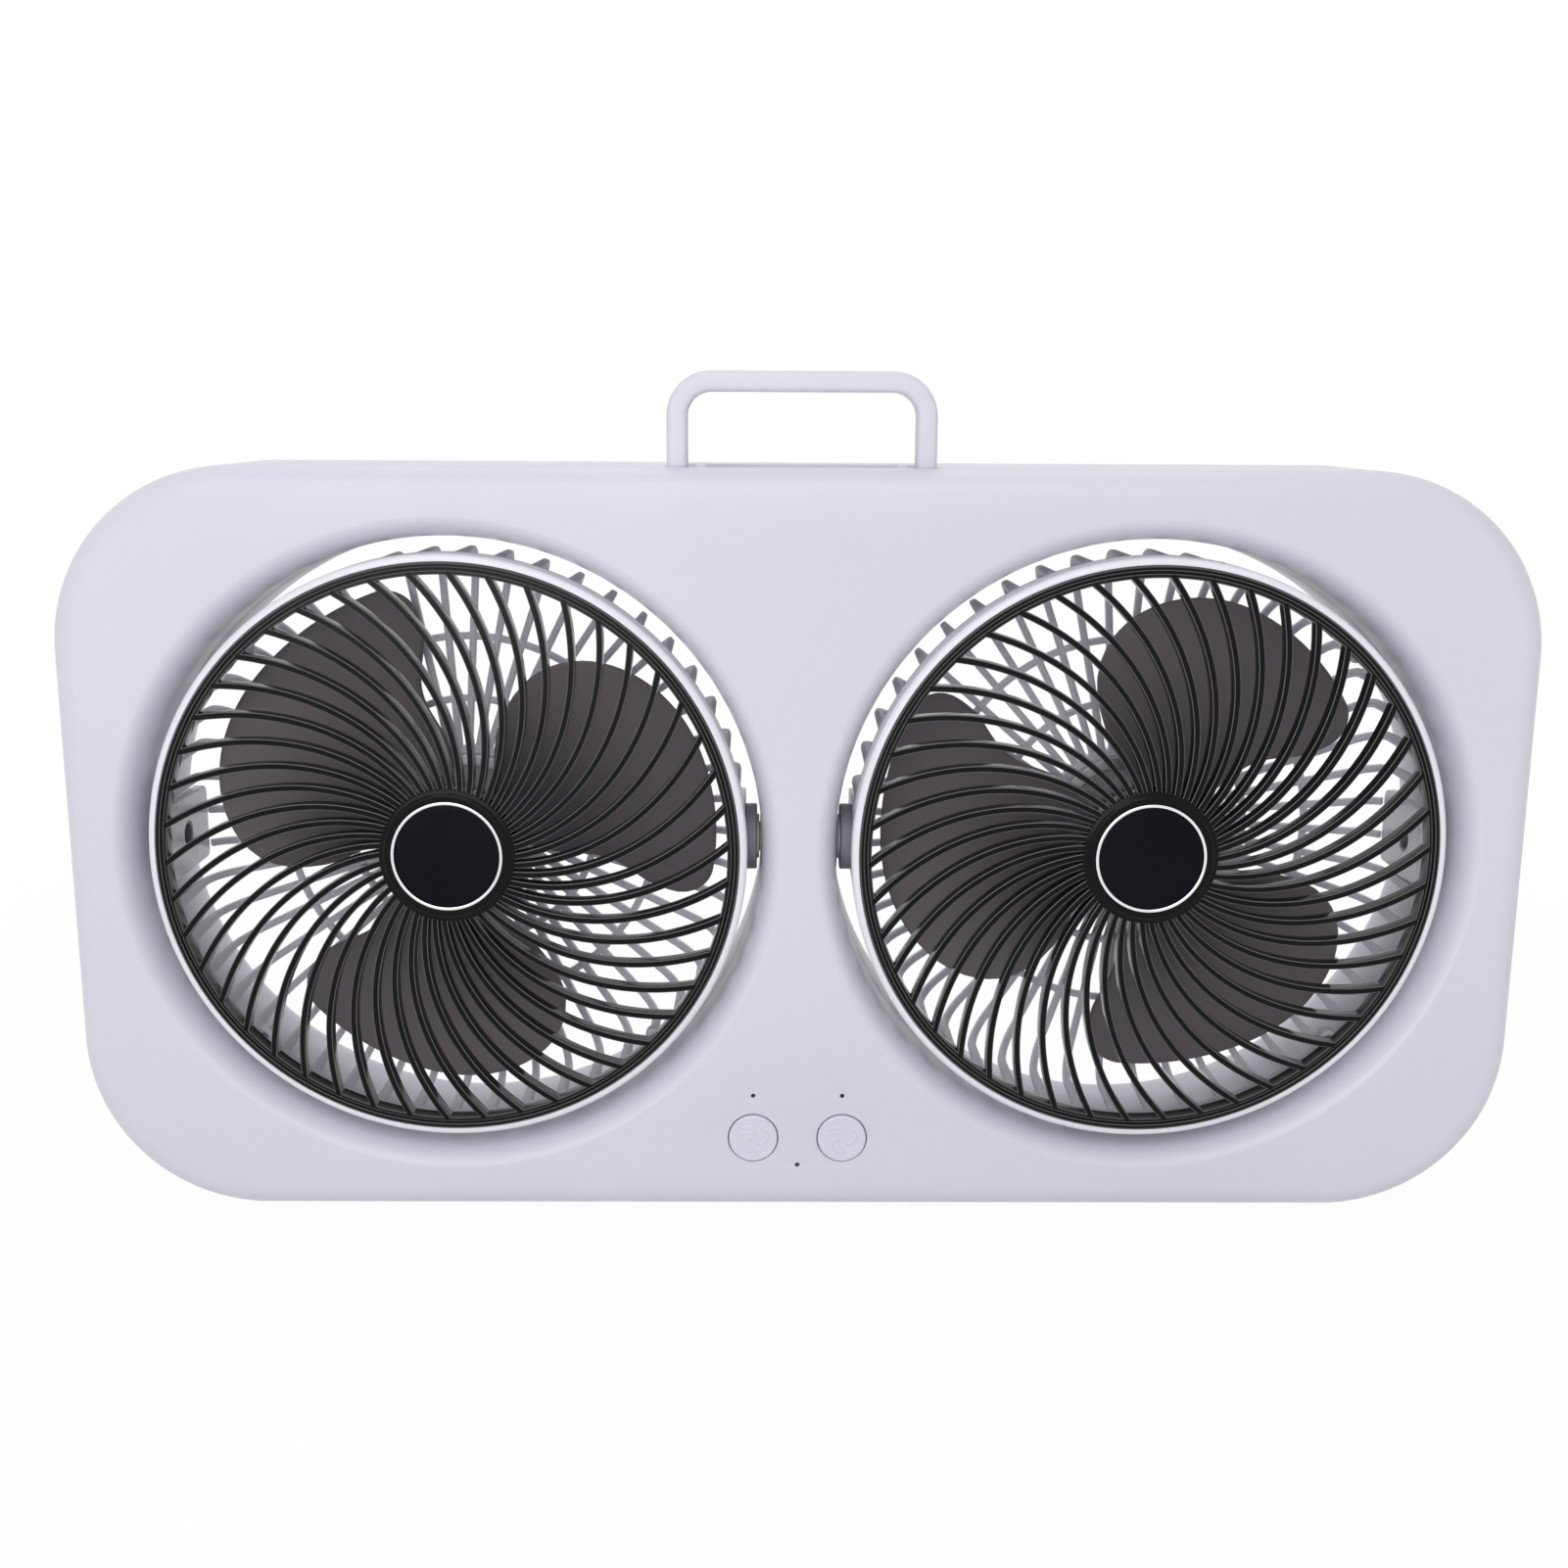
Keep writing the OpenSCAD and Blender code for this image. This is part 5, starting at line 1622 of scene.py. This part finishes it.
    def rear_grille(self) -> None:
        """White rear grille: leaning ribs, two rings, front band with lugs, motor plate."""
        skin = Skin(self.name("white_cage"))
        whole, short = self.fin_sweep(False), self.fin_sweep(True)
        outer, foot = self.cage_r + self.band_out, self.hoop_depth
        pad = math.asin((self.pad_half + self.band_out) / outer)
        for k in range(self.cage_ribs):
            angle = FULL_TURN / self.cage_ribs * (k + 0.5)
            near = abs(math.sin(angle)) < math.sin(pad)
            skin.bar(self.spin(short if near else whole, angle))
        for radius in self.rings:
            bar = round_bar(self.cage_rib_w, self.cage_rib_t - self.ring_thin, 0.5, 3)
            self.turn(skin, bar + [radius, self.cage_depth - self.cage_rib_t / 2], 160)
        end = foot + self.band_depth
        band = rounded_path([
            (self.seat_r, foot, 0.3), (outer, foot, 0.3), (outer, end, 0.6),
            (self.seat_r, end, 0.6)], 4)
        for start in (0.0, math.pi):
            arc = (start + pad, start + math.pi - pad)
            skin.bar(lathe(band, self.centre, Axis.DEPTH, 120, arc))
        front, end = foot + self.cage_lap, foot + self.lug_depth
        lug = rounded_path([
            (self.lug_bore, front, 0), (self.lug_r, front, 0),
            (self.lug_r, end, 0.4), (self.lug_bore, end, 0.2)], 3)
        lug_at = self.seat_r + self.cage_lap
        for k in range(4):
            a = math.pi / 4 + k * math.pi / 2
            spot = np.array([lug_at * math.cos(a), 0.0, lug_at * math.sin(a)]) + self.centre
            skin.grid(lathe(lug, tuple(spot), Axis.DEPTH, 32), wrap_u=True, wrap_v=True)
        (front, back), bore = self.plate_ends, self.plate_bore
        plate = rounded_path([
            (bore, front, 0.3), (self.plate_r, front, 0.5), (self.plate_r, back, 0.5),
            (bore, back, 0.3)], 4)
        self.turn(skin, plate, 128)
        self.dresser.piece(skin.build(), "cage_white", self.body(), self.name("rear_grille"))
        radius, wall = self.plate_r - self.cover_inset, self.cover_wall
        end = back + self.cover_depth
        cover = rounded_path([
            (0, end, 0), (radius, end, 1.6), (radius, back, 0.0), (radius - wall, back, 0.0),
            (radius - wall, end - wall, 0.8), (0, end - wall, 0)], 8, closed=False)
        self.turned("motor_cap", cover, "cage_white", "motor_cover", 128, hollow=False)

    @property
    def trail_r(self) -> float:
        """Radius at which the round rise of a blade's trailing edge begins."""
        return self.hub_r + self.trail_from * (self.blade_r - self.hub_r)

    def tip(self, s: Array) -> Array:
        """Tip radius over the span: a round rise, a level tip and a rounded last corner.

        Args:
            s: Shares of the span, from the trailing edge to the leading one.

        Returns:
            Radii of the tip.
        """
        trail = 1 - (1 - np.clip(s / self.trail_share, 0, 1)) ** self.trail_power
        lead = np.clip((s - 1 + self.lead_share) / self.lead_share, 0, 1)
        rise = (self.blade_r - self.trail_r) * trail ** (1 / self.trail_power)
        return self.trail_r + rise - self.lead_drop * (1 - np.sqrt(1 - lead * lead))

    def lean(self, s: Array, r: Array) -> Array:
        """Angle from the blade's middle, in degrees, clockwise as seen from the front.

        It grows evenly with the share s. The trailing edge is cut back at the hub by a
        square, and the leading edge is drawn in halfway out by a squared sine.

        Args:
            s: Shares of the span.
            r: Radii.

        Returns:
            Angles in degrees.
        """
        near = np.clip((r - self.hub_r + 1) / (self.trail_r - self.hub_r + 1), 0, 1)
        bow_from, bow_to = self.hub_r + self.bow_ends[0], self.blade_r - self.bow_ends[1]
        out = np.clip((r - bow_from) / (bow_to - bow_from), 0, 1)
        cut = self.trail_cut * (1 - s) * (1 - near) ** 2
        bow = self.lead_bow * s * np.sin(math.pi * out) ** 2
        return self.blade_span * (s - 0.5) + cut - bow

    def blade(self, angle: float) -> Array:
        """Closed grid of one blade: a pitched petal whose thickness dies out at its edge.

        Share s runs over the span and t from hub to tip. The two faces lie half a
        thickness in front of and behind a sheet whose depth grows evenly with its angle,
        so the leading edge lies deepest.

        Args:
            angle: Angle of the blade's middle about the axis.

        Returns:
            Points indexed by (face, s, t, xyz).
        """
        ease = np.array([0.0, 0.004, 0.012])
        middle, lead = np.linspace(0.03, 0.9, 36), np.linspace(0.91, 0.985, 10)
        s = np.concatenate([ease, middle, lead, 1 - ease[::-1]])
        t = np.concatenate([np.linspace(0.0, 0.97, 28), [0.985, 0.995, 1.0]])
        ss, tt = np.meshgrid(s, t, indexing="ij")
        root = self.hub_r - self.blade_lap
        r = root + (self.tip(ss) - root) * tt
        lean = self.lean(ss, r)
        a = angle - np.radians(lean)
        thin_s, thin_t = self.blade_thin
        edge = np.minimum(np.minimum(ss, 1 - ss) / thin_s, (1 - tt) / thin_t)
        half = self.blade_t / 2 * np.sqrt(1 - (1 - np.clip(edge, 0, 1)) ** 2)
        mid = self.blade_mid + self.blade_rise * lean / self.blade_span
        x, z = r * np.cos(a), r * np.sin(a)
        return np.stack([np.stack([x, mid + d, z], axis=-1) for d in (-half, half)]) + self.centre

    def fan(self) -> None:
        """Fan: cupped hub and three blades."""
        skin = Skin(self.name("impeller"))
        outer, inner, bore = self.hub_r, self.hub_r - self.hub_wall, self.shaft_hole_r
        front, back, floor = self.hub_front, self.hub_back, self.hub_front + self.hub_wall
        sleeve_r, sleeve_d = self.hub_sleeve
        hub = rounded_path([
            (bore, front, 0.0), (outer, front, 2.2), (outer, back, 0.3), (inner, back, 0.3),
            (inner, floor, 1.0), (sleeve_r, floor, 0.0), (sleeve_r, sleeve_d, 0.3),
            (bore, sleeve_d, 0.0)], 8)
        self.turn(skin, hub, 128)
        for k in range(3):
            near, far = self.blade(FULL_TURN * k / 3 - math.radians(self.turns[self.side]))
            skin.grid(near).grid(far[::-1])
            skin.grid(np.stack([near[:, 0], far[:, 0]], axis=1))
        self.dresser.piece(skin.build(), "blade_grey", self.body(True), self.name("fan"))
        nut = rounded_path([
            (0, self.nut_front, 0), (self.nut_r, self.nut_front, 0.9), (self.nut_r, front, 0.2),
            (0, front, 0)], 5, closed=False)
        self.turned("spinner_nut", nut, "nut_black", "fan_nut", 48, rotor=True, hollow=False)

    def motor(self) -> None:
        """Motor can with a crimped lip and a mounting flange."""
        can, flange, bore = self.hub_r - self.can_gap, self.flange_r, self.can_bore
        plate = self.plate_ends[0]
        foot = plate - self.flange_t
        nose_r, nose = self.can_nose
        front, side = self.can_front
        groove, waist = self.can_groove, can - self.can_groove_deep
        profile = rounded_path([
            (bore, nose, 0), (nose_r, nose, 0.3), (nose_r, front, 0.2), (can - 1.0, front, 0.6),
            (can, side, 0.5), (can, groove[0], 0.2), (waist, groove[1], 0.1),
            (waist, groove[2], 0.1), (can, groove[3], 0.2), (can, foot, 0.4),
            (flange, foot, 0.6), (flange, plate, 0.2), (bore, plate, 0)], 4)
        self.turned("motor_can", profile, "motor_metal", "motor", 96)

    def pivot(self, way: int) -> None:
        """Pivot at one side: a hollow spigot in the pad, a flange, and an axle beyond it.

        Args:
            way: 1 towards +X and -1 towards -X.
        """
        label = "outer" if way == self.side.sign else "inner"
        bore, spigot = self.pivot_bore, self.pivot_bore + self.pivot_wall
        sunk, face = self.pad_out - self.pad_t + self.pivot_sink, self.pad_out
        radius, thick = self.pivot_flange
        back, axle, end = face + thick, self.axle_r, self.axle_end
        profile = rounded_path([
            (bore, sunk, 0.3), (spigot, sunk, 0.2), (spigot, face, 0.0), (radius, face, 0.5),
            (radius, back, 0.5), (axle, back, 0.0), (axle, end, 0.4), (bore, end, 0.3)], 4)
        x, y, z = self.centre
        skin = Skin(self.name(f"{label}_trunnion"))
        grid = lathe(profile * [1.0, way], (x, y + self.layout.pivot_d, z), Axis.ACROSS, 72)
        skin.grid(grid, wrap_u=True, wrap_v=True)
        self.dresser.piece(skin.build(), "pivot_grey", self.body(), self.name(f"{label}_pivot"))


# Stage


@dataclass(frozen=True)
class Lamp:
    """One square lamp: its place, what it is aimed at, its width and its power in watts."""

    name: str
    place: tuple[float, float, float]
    aim: tuple[float, float, float]
    size: float
    power: float

    def build(self) -> None:
        """Makes the lamp, turned so that its face looks at its aim."""
        data = bpy.data.lights.new(self.name, "AREA")
        data.shape = "SQUARE"
        data.size = self.size * MM
        data.energy = self.power
        z = np.subtract(self.place, self.aim)
        z /= np.linalg.norm(z)
        x = np.cross([0.0, 0.0, 1.0], z)
        x /= np.linalg.norm(x)
        turn = np.column_stack([x, np.cross(z, x), z])
        put_object(self.name, data, turn, self.place)


def put_object(
    name: str, data: bpy.types.ID, turn: Array, place: Sequence[float]
) -> bpy.types.Object:
    """Links a new lamp or camera.

    Args:
        name: Name of the object.
        data: What it holds.
        turn: Its turn, as a matrix of three columns.
        place: Where it is, in millimetres.

    Returns:
        The new object.
    """
    obj = bpy.data.objects.new(name, data)
    bpy.context.scene.collection.objects.link(obj)
    matrix = Matrix(turn.tolist()).to_4x4()
    matrix.translation = [v * MM for v in place]
    obj.matrix_world = matrix
    return obj


@dataclass
class Studio:
    """Camera, lamps, surroundings and a pale floor."""

    camera_mm: tuple[float, float, float] = (-9.4, -528.4, 240.0)
    pitch: float = 12.0
    yaw: float = 0.545
    roll: float = 0.327
    focal_px: float = 1797.4
    sensor: float = 36.0
    near_clip: float = 0.01
    lamps: tuple[Lamp, ...] = (
        Lamp("key", (-300.0, -1500.0, 1300.0), (0.0, 0.0, 100.0), 1400.0, 10.5),
        Lamp("fill", (-350.0, -1600.0, 60.0), (0.0, 0.0, 110.0), 1100.0, 9.0),
        Lamp("rim", (0.0, 700.0, 1700.0), (0.0, 0.0, 120.0), 1200.0, 4.0),
    )
    floor_reach: float = 6000.0
    floor_colour: Colour = (0.86, 0.86, 0.87)
    floor_rough: float = 0.9
    floor_specular: float = 0.1
    floor_white: float = 0.96
    floor_fade: tuple[float, float] = (0.25, 0.7)
    sky_colour: Colour = (0.96, 0.97, 1.0)
    sky_heights: tuple[float, float] = (-0.15, 0.8)
    sky_strengths: tuple[float, float] = (0.22, 0.75)

    def build(self) -> None:
        """Makes the whole stage."""
        bpy.context.scene.view_settings.view_transform = "Standard"
        self.camera()
        self.floor()
        for lamp in self.lamps:
            lamp.build()
        self.world()

    def camera(self) -> None:
        """Camera at the photograph's place, looking a little down."""
        p, y, r = (math.radians(v) for v in (self.pitch, self.yaw, self.roll))
        ahead = np.array([math.sin(y) * math.cos(p), math.cos(y) * math.cos(p), -math.sin(p)])
        right = np.cross(ahead, [0.0, 0.0, 1.0])
        right /= np.linalg.norm(right)
        up = np.cross(right, ahead)
        across = right * math.cos(r) + up * math.sin(r)
        over = up * math.cos(r) - right * math.sin(r)
        data = bpy.data.cameras.new("camera")
        data.sensor_width = self.sensor
        data.lens = self.focal_px / PHOTO_SIDE * self.sensor
        data.clip_start = self.near_clip
        turn = np.column_stack([across, over, -ahead])
        bpy.context.scene.camera = put_object("camera", data, turn, self.camera_mm)

    def floor(self) -> None:
        """Pale floor that keeps the fan's shadow near it and turns plain white further off."""
        line = np.array([-self.floor_reach, self.floor_reach])
        x, y = np.meshgrid(line, line, indexing="ij")
        skin = Skin("floor")
        skin.grid(np.stack([x, y, np.zeros_like(x)], axis=-1))
        floor = skin.build()
        material = bpy.data.materials.new("PaleFloor")
        material.use_nodes = True
        tree = material.node_tree
        shader = tree.nodes["Principled BSDF"]
        shader.inputs["Base Color"].default_value = (*self.floor_colour, 1.0)
        shader.inputs["Roughness"].default_value = self.floor_rough
        shader.inputs["Specular IOR Level"].default_value = self.floor_specular
        glow = put(tree, "Emission", {"Strength": 1.0})
        place = put(tree, "TexCoord").outputs["Object"]
        away = put(tree, "VectorMath", {0: place}, "LENGTH").outputs["Value"]
        fade = self._rise(tree, away, self.floor_fade, (self.floor_white, 1.0))
        share = math_of(tree, "MULTIPLY", self._seen(tree), fade)
        self._blend(tree, share, shader.outputs["BSDF"], glow.outputs["Emission"])
        floor.data.materials.append(material)

    def world(self) -> None:
        """Surroundings that are pale overhead and dim ahead, and white where they are seen."""
        world = bpy.data.worlds.new("surroundings")
        bpy.context.scene.world = world
        world.use_nodes = True
        tree = world.node_tree
        place = put(tree, "TexCoord").outputs["Generated"]
        height = put(tree, "SeparateXYZ", {"Vector": place}).outputs["Z"]
        base = tree.nodes["Background"]
        base.inputs["Color"].default_value = (*self.sky_colour, 1.0)
        strength = self._rise(tree, height, self.sky_heights, self.sky_strengths)
        tree.links.new(strength, base.inputs["Strength"])
        white = put(tree, "Background", {"Color": (1.0, 1.0, 1.0, 1.0), "Strength": 1.0})
        seen = self._seen(tree)
        self._blend(tree, seen, base.outputs["Background"], white.outputs["Background"])

    @staticmethod
    def _rise(
        tree: bpy.types.NodeTree,
        value: bpy.types.NodeSocket,
        given: tuple[float, float],
        result: tuple[float, float],
    ) -> bpy.types.NodeSocket:
        """Smooth rise between two values.

        Args:
            tree: Nodes that it is added to.
            value: Socket that drives it.
            given: Values where it starts and ends.
            result: What it gives at those two.

        Returns:
            Socket of the result.
        """
        ramp = put(tree, "MapRange", {
            "Value": value, "From Min": given[0], "From Max": given[1],
            "To Min": result[0], "To Max": result[1]})
        ramp.interpolation_type = "SMOOTHSTEP"
        return ramp.outputs["Result"]

    @staticmethod
    def _blend(
        tree: bpy.types.NodeTree,
        share: bpy.types.NodeSocket,
        first: bpy.types.NodeSocket,
        second: bpy.types.NodeSocket,
    ) -> None:
        """Sends the mix of two shaders to the tree's output.

        Args:
            tree: Nodes that it is added to.
            share: Socket of the second shader's share.
            first: The first shader.
            second: The second shader.
        """
        mix = put(tree, "MixShader", {"Fac": share, 1: first, 2: second})
        output = next(node for node in tree.nodes if node.name.endswith("Output"))
        tree.links.new(mix.outputs["Shader"], output.inputs["Surface"])

    @staticmethod
    def _seen(tree: bpy.types.NodeTree) -> bpy.types.NodeSocket:
        """1 for rays from the camera, in a reflection or through glass."""
        rays = put(tree, "LightPath").outputs
        direct = math_of(tree, "MAXIMUM", rays["Is Camera Ray"], rays["Is Glossy Ray"])
        return math_of(tree, "MAXIMUM", direct, rays["Is Transmission Ray"])


def main() -> None:
    """Builds the stage and every piece."""
    logging.basicConfig(level=logging.INFO, format="%(message)s")
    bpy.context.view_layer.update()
    layout = Layout.from_frame()
    Studio().build()
    dresser = Dresser()
    dresser.nodes()
    housing = Housing(layout, dresser)
    housing.build_front()
    housing.build_rear()
    Handle(layout, dresser).build()
    Buttons(layout, dresser).build()
    for side in Side:
        Head(layout, dresser, side).build()


if __name__ == "__main__":
    main()
